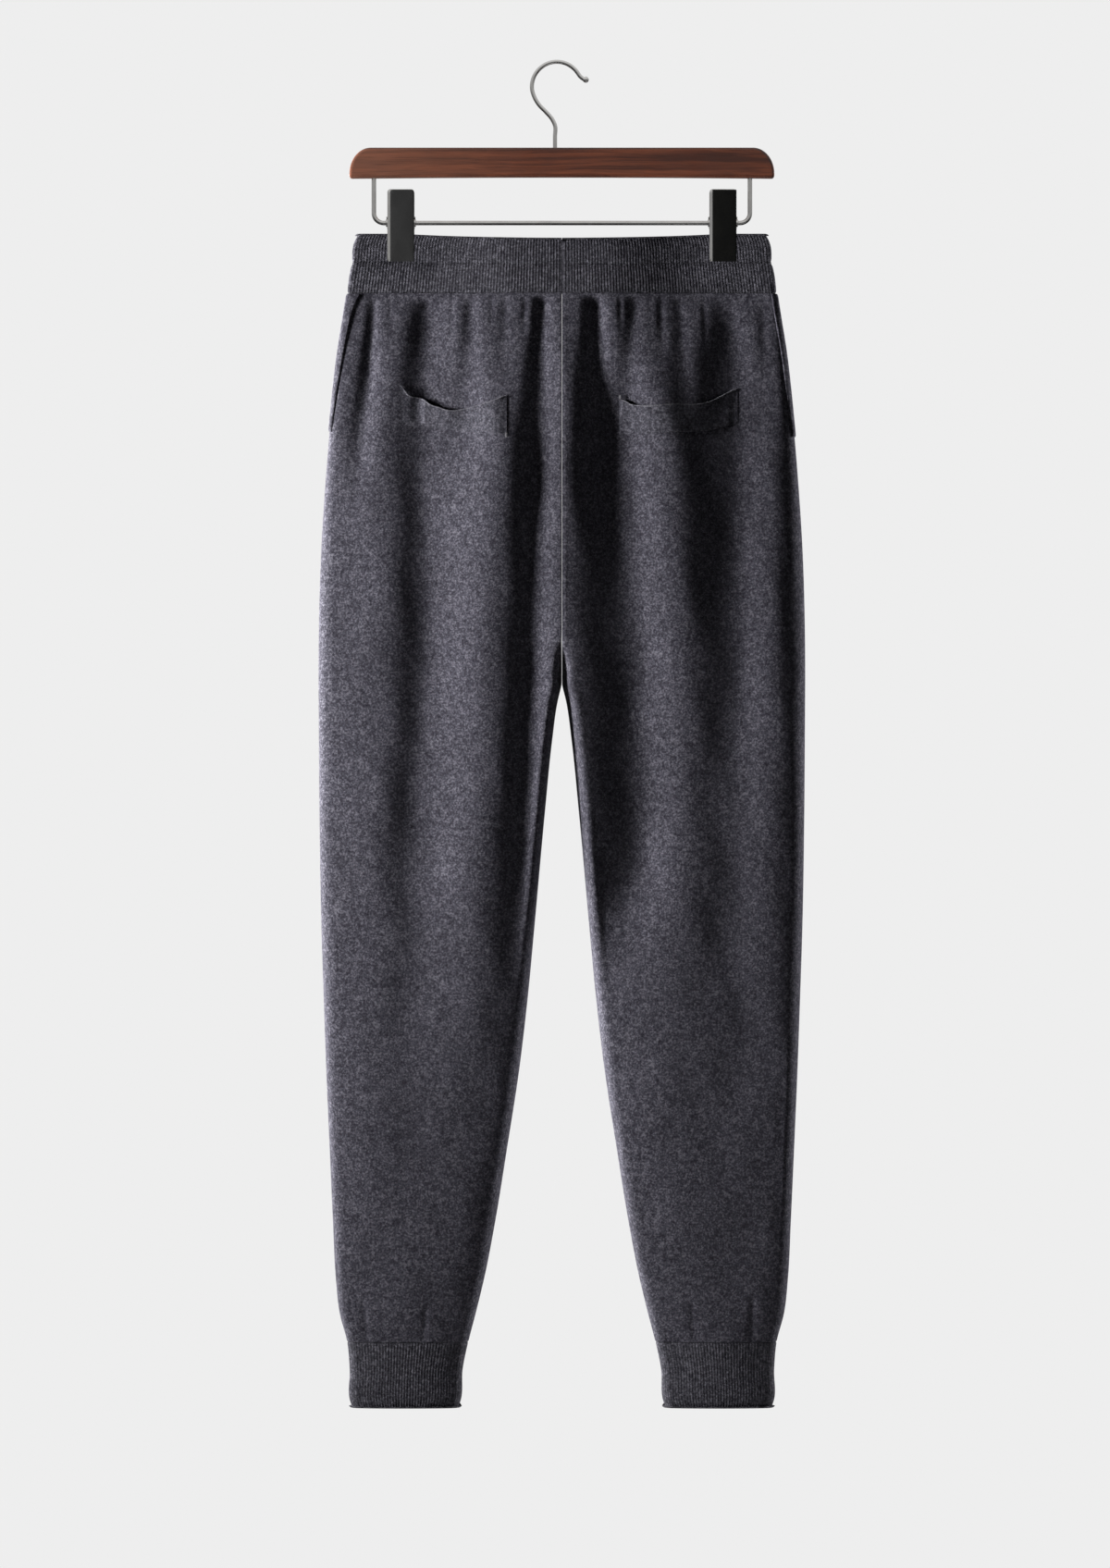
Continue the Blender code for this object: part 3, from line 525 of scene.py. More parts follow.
BACK_FOLDS = (
    Fold(-0.1995, -0.4200, -0.1630, -0.1680, -0.1760, -0.1820, 0.010, 0.010, 0.0050, 0.70, 0.45),
    Fold(-0.1995, -1.0400, -0.1180, -0.1150, -0.1260, -0.1280, 0.026, 0.038, 0.0122, 0.62, 0.40),
    Fold(-0.1995, -0.4100, -0.0790, -0.0805, -0.0825, -0.0850, 0.014, 0.014, 0.0046, 0.75, 0.40),
    Fold(-0.1995, -0.2800, -0.0490, -0.0495, -0.0500, -0.0505, 0.011, 0.009, 0.0015, 0.75, 0.40),
    Fold(-0.1995, -0.8400, -0.0170, -0.0230, -0.0315, -0.0430, 0.014, 0.016, 0.0074, 0.62, 0.70),
    Fold(-0.1995, -0.4600, 0.0290, 0.0320, 0.0360, 0.0430, 0.019, 0.015, 0.0075, 0.75, 0.35),
    Fold(-0.1995, -0.3900, 0.0625, 0.0600, 0.0560, 0.0540, 0.015, 0.013, 0.0032, 0.70, 0.45),
    Fold(-0.2300, -0.8400, 0.0490, 0.0545, 0.0680, 0.0450, 0.034, 0.033, 0.0134, 0.00, 0.74),
    Fold(-0.1995, -0.3300, 0.1020, 0.1040, 0.1060, 0.1070, 0.012, 0.010, 0.0019, 0.75, 0.40),
    Fold(-0.1995, -0.3000, 0.1750, 0.1755, 0.1760, 0.1770, 0.009, 0.008, 0.0010, 0.75, 0.40),
    Fold(-0.1995, -1.0800, 0.1450, 0.1480, 0.1490, 0.1530, 0.034, 0.022, 0.0070, 0.60, 0.28),
    Fold(-0.2600, -0.9500, -0.0500, -0.0715, -0.0780, -0.0900, 0.034, 0.022, -0.0055, 0.00, 0.50),
    Fold(-0.2400, -1.0000, 0.0850, 0.0920, 0.0880, 0.0820, 0.024, 0.030, -0.0026, 0.00, 0.45),
    Fold(-0.2600, -0.7500, 0.1850, 0.1870, 0.1850, 0.1820, 0.016, 0.016, -0.0018, 0.00, 0.50),
    Fold(-0.3600, -0.9500, -0.1330, -0.1340, -0.1360, -0.1360, 0.052, 0.032, -0.0022, 0.00, 0.45),
    Fold(-0.7600, -1.1650, 0.1630, 0.1630, 0.1620, 0.1600, 0.070, 0.032, 0.0032, 0.00, 0.35),
)
FRONT_FOLDS = (
    Fold(-0.1995, -0.4700, -0.1600, -0.1640, -0.1700, -0.1740, 0.013, 0.013, 0.0045, 0.70, 0.50),
    Fold(-0.1995, -0.8800, -0.1120, -0.1180, -0.1290, -0.1340, 0.034, 0.024, 0.0090, 0.60, 0.35),
    Fold(-0.1995, -0.3400, -0.0700, -0.0710, -0.0720, -0.0730, 0.013, 0.011, 0.0030, 0.80, 0.40),
    Fold(-0.1995, -0.7800, -0.0300, -0.0330, -0.0440, -0.0560, 0.022, 0.028, 0.0100, 0.50, 0.60),
    Fold(-0.1995, -0.7300, 0.0270, 0.0320, 0.0430, 0.0480, 0.024, 0.020, 0.0095, 0.50, 0.60),
    Fold(-0.1995, -0.3300, 0.0780, 0.0790, 0.0790, 0.0800, 0.011, 0.013, 0.0030, 0.80, 0.40),
    Fold(-0.1995, -0.9400, 0.1260, 0.1320, 0.1360, 0.1300, 0.024, 0.034, 0.0080, 0.60, 0.35),
    Fold(-0.1995, -0.2800, 0.1610, 0.1620, 0.1640, 0.1650, 0.009, 0.009, 0.0026, 0.80, 0.40),
    Fold(-0.2600, -0.9600, -0.0860, -0.0900, -0.0940, -0.1000, 0.026, 0.030, -0.0050, 0.00, 0.50),
    Fold(-0.2600, -0.9800, 0.0840, 0.0860, 0.0880, 0.0940, 0.028, 0.024, -0.0050, 0.00, 0.50),
)
# Finer creases: puckers under the waistband, drag lines at the fork, slack over the cuffs.
BACK_CREASES = (
    Fold(-0.1995, -0.2420, -0.1480, -0.1485, -0.1490, -0.1500, 0.005, 0.004, 0.0009, 1.00, 0.3),
    Fold(-0.1995, -0.2560, -0.0950, -0.0952, -0.0960, -0.0970, 0.005, 0.005, 0.0010, 1.00, 0.3),
    Fold(-0.1995, -0.2360, -0.0610, -0.0610, -0.0615, -0.0620, 0.004, 0.005, 0.0009, 1.00, 0.3),
    Fold(-0.1995, -0.2480, -0.0320, -0.0322, -0.0325, -0.0330, 0.005, 0.004, 0.0010, 1.00, 0.3),
    Fold(-0.1995, -0.2440, 0.0500, 0.0502, 0.0508, 0.0515, 0.004, 0.005, 0.0008, 1.00, 0.3),
    Fold(-0.1995, -0.2640, 0.0860, 0.0862, 0.0870, 0.0880, 0.006, 0.005, 0.0011, 1.00, 0.3),
    Fold(-0.1995, -0.2500, 0.1230, 0.1232, 0.1240, 0.1250, 0.004, 0.005, 0.0009, 1.00, 0.3),
    Fold(-1.0700, -1.1109, -0.1720, -0.1715, -0.1705, -0.1700, 0.006, 0.006, 0.0008, 1.00, 0.9),
    Fold(-1.0780, -1.1109, -0.1180, -0.1185, -0.1195, -0.1200, 0.006, 0.006, 0.0008, 1.00, 0.9),
    Fold(-1.0740, -1.1109, 0.1120, 0.1130, 0.1140, 0.1145, 0.006, 0.006, 0.0008, 1.00, 0.9),
    Fold(-1.0680, -1.1109, 0.1660, 0.1655, 0.1650, 0.1645, 0.007, 0.006, 0.0008, 1.00, 0.9),
)
FRONT_CREASES = (
    Fold(-0.1995, -0.2460, -0.1440, -0.1445, -0.1450, -0.1460, 0.005, 0.005, 0.0010, 1.00, 0.3),
    Fold(-0.1995, -0.2380, -0.0920, -0.0925, -0.0930, -0.0935, 0.005, 0.004, 0.0009, 1.00, 0.3),
    Fold(-0.1995, -0.2520, -0.0500, -0.0503, -0.0510, -0.0520, 0.005, 0.005, 0.0010, 1.00, 0.3),
    Fold(-0.1995, -0.2400, 0.0520, 0.0522, 0.0525, 0.0530, 0.004, 0.005, 0.0009, 1.00, 0.3),
    Fold(-0.1995, -0.2600, 0.1010, 0.1012, 0.1020, 0.1030, 0.005, 0.005, 0.0010, 1.00, 0.3),
    Fold(-1.0720, -1.1109, -0.1500, -0.1498, -0.1490, -0.1485, 0.007, 0.006, 0.0008, 1.00, 0.9),
    Fold(-1.0760, -1.1109, 0.1400, 0.1402, 0.1405, 0.1410, 0.006, 0.007, 0.0008, 1.00, 0.9),
)


@dataclass(frozen=True)
class GarmentForm:
    """The hung garment's outer face, from its sections and its folds."""

    waist_top: float = -0.1480
    waist_groove: float = -0.1731
    waist_seam: float = -0.1995
    crotch: float = -0.5381
    cuff_seam: float = -1.1109
    cuff_end: float = -1.1680
    closing: float = 0.045            # the hips' section turns into two legs over this height
    closing_ease: float = 1.5
    fullness_top: float = -0.2500     # the hips fill out between these heights
    fullness_end: float = -0.5000
    spread_top: float = -0.3000       # columns move towards the inseam between these heights
    spread_end: float = -0.5600
    hip_swell: float = 1.10
    hip_fullness: float = 0.55
    leg_swell: float = 0.45
    inseam_roll: float = 0.0085       # above the knee the inner edge rolls in over this width
    thigh_end: float = -0.6200        # the legs turn from full inner edges
    shin_start: float = -0.9000       # to even ones between these heights
    seam_ease: float = 0.0140         # folds fade out over this width beside a seam
    fold_start: float = 0.0055        # folds come up over this height below their top
    fold_opening: float = 0.1200      # and open out over this one
    fold_pinched: float = 0.45        # from this share of their width
    clip_x: float = 0.1400
    clip_bottom: float = -0.1721
    pinch_wall: float = 0.0030
    pinch_flat: float = 0.0140
    pinch_fade: float = 0.0850
    pinch_below: float = 0.0040
    pinch_end: float = -0.2450
    ripple: float = 0.00022           # the cloth's own unevenness

    def size(self, name: str, z: Array) -> Array:
        """Read one of the section's half sizes.

        Args:
            name: the section's column.
            z: the heights.

        Returns:
            The half size at each height.
        """
        return through(*column(SECTIONS, name, "z"), z)

    def inner_size(self, z: Array) -> Array:
        """Read the inner half size, never less than half a seam's gap."""
        return np.maximum(self.size("inner", z), SEAM_GAP / 2)

    def closed_share(self, z: Array) -> Array:
        """Tell hips from legs.

        Args:
            z: the heights.

        Returns:
            0 where both legs share one section and 1 where each has its own.
        """
        return ramp((self.crotch + self.closing - z) / self.closing) ** self.closing_ease

    def fold_depth(self, folds: Sequence[Fold], x: Array, z: Array) -> Array:
        """Add up folds.

        Args:
            folds: the folds.
            x: places across the garment.
            z: their heights.

        Returns:
            How far the cloth sinks there.
        """
        total = np.zeros_like(x)
        stops = np.linspace(0.0, 1.0, 4)
        for fold in folds:
            along = (fold.z_top - z) / (fold.z_top - fold.z_low)
            centre = through(stops, (fold.x_top, fold.x_upper, fold.x_lower, fold.x_low), along)
            fade = ramp((along - fold.fade) / (1.0 - fold.fade))
            start = min(self.fold_start, (fold.z_top - fold.z_low) / 3)
            opened = ramp((fold.z_top - z) / self.fold_opening)
            deepened = fold.top + (1.0 - fold.top) * opened
            strength = ramp((fold.z_top - z) / start) * (1.0 - fade) * deepened
            widened = self.fold_pinched + (1.0 - self.fold_pinched) * opened
            width = np.where(x < centre, fold.left, fold.right) * widened
            inside = (along > 0.0) & (along < 1.0)
            total = total + inside * fold.depth * strength * np.exp(-(((x - centre) / width) ** 2))
        return total

    def unevenness(self, x: Array, z: Array, face: Face) -> Array:
        """Add the cloth's own gentle unevenness.

        Args:
            x: places across the garment.
            z: their heights.
            face: the garment's face.

        Returns:
            How far the cloth sinks there.
        """
        shift = 1.7 * face.value
        waves = (np.sin(97.0 * x + 23.0 * z + shift) + np.sin(61.0 * x - 41.0 * z + 2.1 + shift)
                 + 0.6 * np.sin(171.0 * x + 67.0 * z + 4.0) + 0.5 * np.sin(38.0 * z - 143.0 * x))
        return self.ripple * waves

    def pinch_share(self, x: Array, z: Array) -> Array:
        """Find where a clip presses the cloth.

        Args:
            x: places across the garment.
            z: their heights.

        Returns:
            1 where a clip presses the cloth flat, fading away from it.
        """
        across = 1.0 - ramp((abs(np.abs(x) - self.clip_x) - self.pinch_flat) / self.pinch_fade)
        opening = self.clip_bottom - self.pinch_below
        return across * (1.0 - ramp((opening - z) / (opening - self.pinch_end)))

    def cloth(self, side: Side, face: Face, share: Array, z: Array, folded: bool = True,
              closed: float | None = None) -> Array:
        """Find points of the outer face.

        Args:
            side: the wearer's side.
            face: back or front.
            share: from 0 at the side seam to 1 at the centre seam or the inseam.
            z: the heights.
            folded: whether the folds are in it.
            closed: 0 for one section round both legs, 1 for one of each leg, None for what
                the height gives.

        Returns:
            Points, about the garment's own middle.
        """
        share, z = np.broadcast_arrays(np.asarray(share, float), np.asarray(z, float))
        outer = self.size("outer", z)
        inner = self.inner_size(z)
        depth = self.size("depth", z)
        edge = self.size("edge", z)
        closed = self.closed_share(z) if closed is None else closed
        width = outer - inner
        in_roll = 1.0 + closed * (rolled((1.0 - share) * width, edge) - 1.0)
        fullness = ramp((self.fullness_top - z) / (self.fullness_top - self.fullness_end))
        open_swell = np.sin(share * math.pi / 2) ** (self.hip_swell - self.hip_fullness * fullness)
        full_swell = open_swell * rolled((1.0 - share) * width, self.inseam_roll)
        even_swell = np.clip(np.sin(share * math.pi), 0.0, 1.0) ** self.leg_swell
        evened = ramp((self.thigh_end - z) / (self.thigh_end - self.shin_start))
        leg_swell = full_swell + evened * (even_swell - full_swell)
        swell = open_swell + closed * (leg_swell - open_swell)
        half = edge * rolled(share * width, edge) * in_roll + (depth - edge) * swell
        x = side.value * (outer - share * width)
        if folded:
            back = face is Face.BACK
            folds = BACK_FOLDS + BACK_CREASES if back else FRONT_FOLDS + FRONT_CREASES
            from_inner = ramp((1.0 - share) * width / self.seam_ease)
            easing = ramp(share * width / self.seam_ease) * (1.0 + closed * (from_inner - 1.0))
            sunk = self.fold_depth(folds, x, z) + self.unevenness(x, z, face)
            half = half - sunk * easing * ramp((self.waist_seam - z) / self.seam_ease + 0.2)
        pressed = self.pinch_wall + SEAM_GAP
        half = half + self.pinch_share(x, z) * np.minimum(pressed - half, 0.0)
        half = np.maximum(half, SEAM_GAP / 2)
        return np.stack([x, face.value * half, z], axis=-1)

    def at_x(self, side: Side, face: Face, x: Array, z: Array) -> Array:
        """Find points of the outer face by their place across the garment.

        Args:
            side: the wearer's side.
            face: back or front.
            x: places across the garment, from its middle.
            z: their heights.

        Returns:
            Points, about the garment's own middle.
        """
        outer = self.size("outer", z)
        inner = self.inner_size(z)
        return self.cloth(side, face, (outer - np.abs(x)) / (outer - inner), z)


FORM = GarmentForm()


# ---- cloth pieces
def add_shell(node: str, material: Material, outer: Array, inner: Array, places: Array,
              inner_places: Array) -> Piece:
    """Make a plain knit piece that takes the place of its solid.

    Args:
        node: the solid's node.
        material: its knit.
        outer: the grid of the face that shows, about the garment's own middle.
        inner: the grid behind it.
        places: pattern places of the outer grid.
        inner_places: pattern places of the inner grid.

    Returns:
        The piece.
    """
    fabric = Fabric()
    fabric.add_wall(outer + HUNG, inner + HUNG, places, inner_places)
    return fabric.finished(f"{node}_cloth", material, node=node)


@dataclass
class BackPocket:
    """A back pocket: the panel's hollow behind its mouth, and the welt sewn over it."""

    side: Side
    mouths: tuple[Mouth, ...]
    fades: tuple[float, float]        # the welt thins out over these widths at its two ends
    wall: float = 0.0014
    rim_radius: float = 0.0009
    edge_yarn: float = 0.00070
    cut_width: float = 0.0012         # the panel drops away over this height below its cut
    hidden: float = 0.0140            # and comes back over this height behind the welt,
    under_rim: float = 0.0040         # from this far below its rim
    end_ease: float = 0.0040
    crowding: float = 1.3             # its rows crowd towards the rim
    thinnest: float = 0.12            # share of the wall at its thinned edges
    sewn_share: float = 0.40          # and of the rest at its sewn edge
    sewn_roll: float = 0.0030
    edge_inset: float = 0.0010        # the row of loops starts this far in from the ends
    edge_sunk: float = 0.70           # its share below the rim
    edge_out: float = 0.85            # its place in the wall, from behind
    loop_pitch: float = 0.0021
    turned_in: float = 0.0040         # cloth at both ends, in the cut
    bulge: float = 1.06               # the cut's area by what its outline holds
    columns: int = 150
    rows: int = 26

    def line(self, name: str, x: Array) -> Array:
        """Read one of the pocket's lines.

        Args:
            name: a column of its mouths.
            x: places across the garment.

        Returns:
            The line's value at each place.
        """
        return through(*column(self.mouths, name, "x"), x)

    def hollow(self, x: Array, z: Array) -> Array:
        """Find how far the panel sinks behind the mouth.

        Args:
            x: places across the garment.
            z: their heights.

        Returns:
            The depth there.
        """
        cut = self.line("cut", x)
        rim = self.line("rim", x)
        inside = (ramp((x - self.mouths[0].x) / self.end_ease)
                  * ramp((self.mouths[-1].x - x) / self.end_ease))
        back_up = ramp((rim - self.under_rim - z) / self.hidden)
        down = ramp((cut - z) / self.cut_width) * (1.0 - back_up)
        return inside * down * self.line("hollow", x)

    def build(self, material: Material) -> Piece:
        """Make the welt.

        Args:
            material: its knit.

        Returns:
            The welt's piece.
        """
        xs = np.linspace(self.mouths[0].x, self.mouths[-1].x, self.columns + 1)
        down = np.linspace(0.0, 1.0, self.rows + 1)[:, None] ** self.crowding
        rim = self.line("rim", xs)
        sewn = self.line("sewn", xs)
        z = rim + (sewn - rim) * down
        x = np.broadcast_to(xs, z.shape)
        base = FORM.at_x(self.side, Face.BACK, x, z)
        normals = normals_of(base, np.array([0.0, -1.0, 0.0]))
        lift = SEAM_GAP + self.line("lift", xs) * (1.0 - down) ** 2
        lift = lift + self.line("proud", xs) * (1.0 - down**6)
        low_edge = self.sewn_share + (1.0 - self.sewn_share) * rolled(z - sewn, self.sewn_roll)
        soft = (rolled(rim - z, self.rim_radius) * ramp((x - xs[0]) / self.fades[0])
                * ramp((xs[-1] - x) / self.fades[1]) * low_edge)
        thick = self.wall * (self.thinnest + (1.0 - self.thinnest) * soft)
        outer = base + normals * (lift + thick)[..., None]
        inner = base + normals * lift[..., None]
        keep = np.ix_(thinned(self.rows + 1, 3), thinned(self.columns + 1, 3))
        places = np.stack([x, z], axis=-1)
        return add_shell(f"back_pocket_welt_{self.side.label}", material, outer, inner[keep],
                         places, places[keep])

    def build_edge(self, material: Material) -> Piece:
        """Make the row of loops along the welt's turned top, its lighter yarn a painted highlight
        on the rim.

        Args:
            material: its yarn, painted lighter as a highlight on the rim.

        Returns:
            The row's piece.
        """
        xs = np.linspace(self.mouths[0].x + self.edge_inset, self.mouths[-1].x - self.edge_inset,
                         6 * self.columns)
        z = self.line("rim", xs) - self.edge_sunk * self.edge_yarn
        base = FORM.at_x(self.side, Face.BACK, xs, z)
        lift = SEAM_GAP + self.line("lift", xs) + self.line("proud", xs)
        loops = np.sin(xs * 2 * math.pi / self.loop_pitch)
        base[:, 1] -= lift + self.edge_out * self.wall - 0.3 * self.edge_yarn * loops
        from_ends = ramp(np.minimum(xs - xs[0], xs[-1] - xs) / self.end_ease)
        radii = self.edge_yarn * (0.80 + 0.20 * loops) * (0.3 + 0.7 * from_ends)
        fabric = Fabric()
        fabric.add_tube(base + HUNG, radii, 8)
        return fabric.finished(f"welt_edge_{self.side.label}", material)

    def cut(self) -> Cut:
        """Give the welt's flat cut."""
        width = self.mouths[-1].x - self.mouths[0].x + self.turned_in
        heights = np.array([mouth.rim - mouth.sewn for mouth in self.mouths])
        xs = np.array([mouth.x for mouth in self.mouths])
        area = float(np.trapz(heights, xs)) * self.bulge
        return Cut(width, max(float(heights.max()), area / width), area)


@dataclass
class LegPanel:
    """One of the four leg panels, from the waistband to the cuff."""

    side: Side
    face: Face
    pocket: BackPocket | None = None
    wall: float = 0.0020
    seam_drop: float = 0.0009         # the cloth rolls down into its seams
    seam_roll: float = 0.0013
    left_drop: float = 0.50           # the left side's inner edges sink by this share of it,
    right_drop: float = 0.00          # the right side's by this one
    side_drop: float = 0.60           # and the side seams by this one
    end_drop: float = 0.0010          # it sinks more at the waistband and at the cuff,
    end_rolls: tuple[float, float] = (0.0022, 0.0018)   # over these heights
    ridge: float = 0.0002             # the seam allowance pressed to one side of the centre
    ridge_place: float = 0.0030
    ridge_width: float = 0.0013
    ridge_end: float = 0.0200         # it ends over this height at the fork
    columns: int = 118
    crowd: tuple[float, ...] = (0.0, 0.00025, 0.0006, 0.0011, 0.0018, 0.0027)

    @property
    def name(self) -> str:
        """The panel's node."""
        return f"{self.face.label}_{self.side.label}"

    def heights(self) -> Array:
        """Give the heights of its rows, closest at the seams and the pocket's mouth."""
        top = FORM.waist_seam - SEAM_GAP / 2
        low = FORM.cuff_seam + SEAM_GAP / 2
        stops = (top, top - 0.0015, top - 0.004, -0.2780, -0.3120, -0.5200, -0.5600,
                 low + 0.004, low + 0.0015, low)
        at_pocket = 0.0011 if self.pocket else 0.0026
        steps = (0.0004, 0.0009, 0.0024, at_pocket, 0.0028, 0.0022, 0.0030, 0.0009, 0.0004)
        return graded(stops, steps)

    def shares(self, z: float) -> tuple[Array, float]:
        """Space a row's points out.

        Args:
            z: the row's height.

        Returns:
            Their shares from the side seam to the inner one, and the row's length.
        """
        dense = (1.0 - np.cos(math.pi * np.linspace(0.0, 1.0, 320))) / 2
        layouts = []
        for closed in (0.0, 1.0):
            reach = lengths_along(FORM.cloth(self.side, self.face, dense, z, False, closed))
            length = reach[-1]
            start = np.array(self.crowd)
            middle = np.linspace(start[-1], length - start[-1], self.columns + 1)[1:-1]
            wanted = np.concatenate([start, middle, length - start[::-1]])
            layouts.append(np.interp(wanted, reach, dense))
        moved = ramp((FORM.spread_top - z) / (FORM.spread_top - FORM.spread_end))
        return layouts[0] + (layouts[1] - layouts[0]) * moved, length

    def build(self, material: Material) -> Piece:
        """Make the panel.

        Args:
            material: its knit.

        Returns:
            The panel's piece.
        """
        z = self.heights()[:, None]
        shares = np.array([self.shares(float(height))[0] for height in z[:, 0]])
        base = FORM.cloth(self.side, self.face, shares, z)
        normals = normals_of(base, np.array([0.0, self.face.value, 0.0]))
        steps = np.linalg.norm(np.diff(base, axis=1), axis=2)
        along = np.concatenate([np.zeros((len(z), 1)), np.cumsum(steps, axis=1)], axis=1)
        inward = along[:, -1:] - along
        share = self.left_drop if self.side is Side.LEFT else self.right_drop
        drop = share * self.seam_drop * (1.0 - rolled(inward, self.seam_roll))
        drop = drop + self.side_drop * self.seam_drop * (1.0 - rolled(along, self.seam_roll))
        for height, roll in zip((FORM.waist_seam, FORM.cuff_seam), self.end_rolls):
            drop = drop + self.end_drop * (1.0 - rolled(np.abs(z - height), roll))
        if self.face is Face.BACK and self.side is Side.RIGHT:
            bump = np.exp(-(((inward - self.ridge_place) / self.ridge_width) ** 2))
            drop = drop - self.ridge * bump * ramp((z - FORM.crotch) / self.ridge_end + 1.0)
        if self.pocket:
            drop = drop + self.pocket.hollow(base[..., 0], base[..., 2])
        outer = base - normals * drop[..., None]
        inner = outer - normals * self.wall
        for grid in (outer, inner):
            grid[0, :, 2] = base[0, :, 2]
            grid[-1, :, 2] = base[-1, :, 2]
            for axis, sign in ((0, self.side.value), (1, self.face.value)):
                grid[..., axis] = sign * np.maximum(sign * grid[..., axis], SEAM_GAP / 2)
        places = np.stack([along - 0.6 * along[:, -1:], np.broadcast_to(z, along.shape)], axis=-1)
        keep = thinned(along.shape[1], 3)
        return add_shell(self.name, material, outer, inner[:, keep], places, places[:, keep])

    def cut(self) -> Cut:
        """Give the panel's flat cut, from its length round the form at each height."""
        heights = self.heights()
        widths = np.array([self.shares(float(z))[1] for z in heights])
        length = float(heights[0] - heights[-1])
        return Cut(float(widths.max()), length, float(np.trapz(widths, -heights)))


@dataclass
class SidePocketEdge:
    """The edge of a side pocket, turned from the side seam onto the back."""

    side: Side
    reaches: tuple[Reach, ...]
    wall: float = 0.0012
    lift: float = 0.0004
    start: float = 0.025
    rim_radius: float = 0.0008
    end_radius: float = 0.0020
    thinnest: float = 0.1             # share of the wall at its edges
    turned: float = 1.5               # its cut's width by its reach onto the back
    least_width: float = 0.0120
    columns: int = 18
    rows: int = 80

    def build(self, material: Material) -> Piece:
        """Make the edge.

        Args:
            material: its knit.

        Returns:
            The edge's piece.
        """
        z = np.linspace(self.reaches[0].z, self.reaches[-1].z, self.rows + 1)[:, None]
        reach = through(*column(self.reaches, "reach", "z"), z)
        even = np.linspace(0.0, 1.0, self.columns + 1)
        width = FORM.size("outer", z) - SEAM_GAP / 2
        shares = (self.start + (1.0 - self.start) * even) * reach / width
        base = FORM.cloth(self.side, Face.BACK, shares, z)
        normals = normals_of(base, np.array([self.side.value, -1.0, 0.0]))
        from_ends = np.minimum(z[0] - z, z - z[-1])
        soft = (rolled((1.0 - even) * reach, self.rim_radius) * rolled(from_ends, self.end_radius)
                * rolled(even * reach + 0.0002, self.rim_radius))
        thick = self.wall * (self.thinnest + (1.0 - self.thinnest) * soft)
        outer = base + normals * (self.lift + thick)[..., None]
        inner = base + normals * self.lift
        places = base[..., (0, 2)]
        return add_shell(f"side_pocket_edge_{self.side.label}", material, outer, inner, places,
                         places)

    def cut(self) -> Cut:
        """Give the edge's flat cut, half as wide again as it reaches onto the back."""
        length = self.reaches[0].z - self.reaches[-1].z
        zs = np.array([row.z for row in self.reaches])
        area = self.turned * float(np.trapz([row.reach for row in self.reaches], -zs))
        return Cut(max(self.least_width, area / length), length, area)


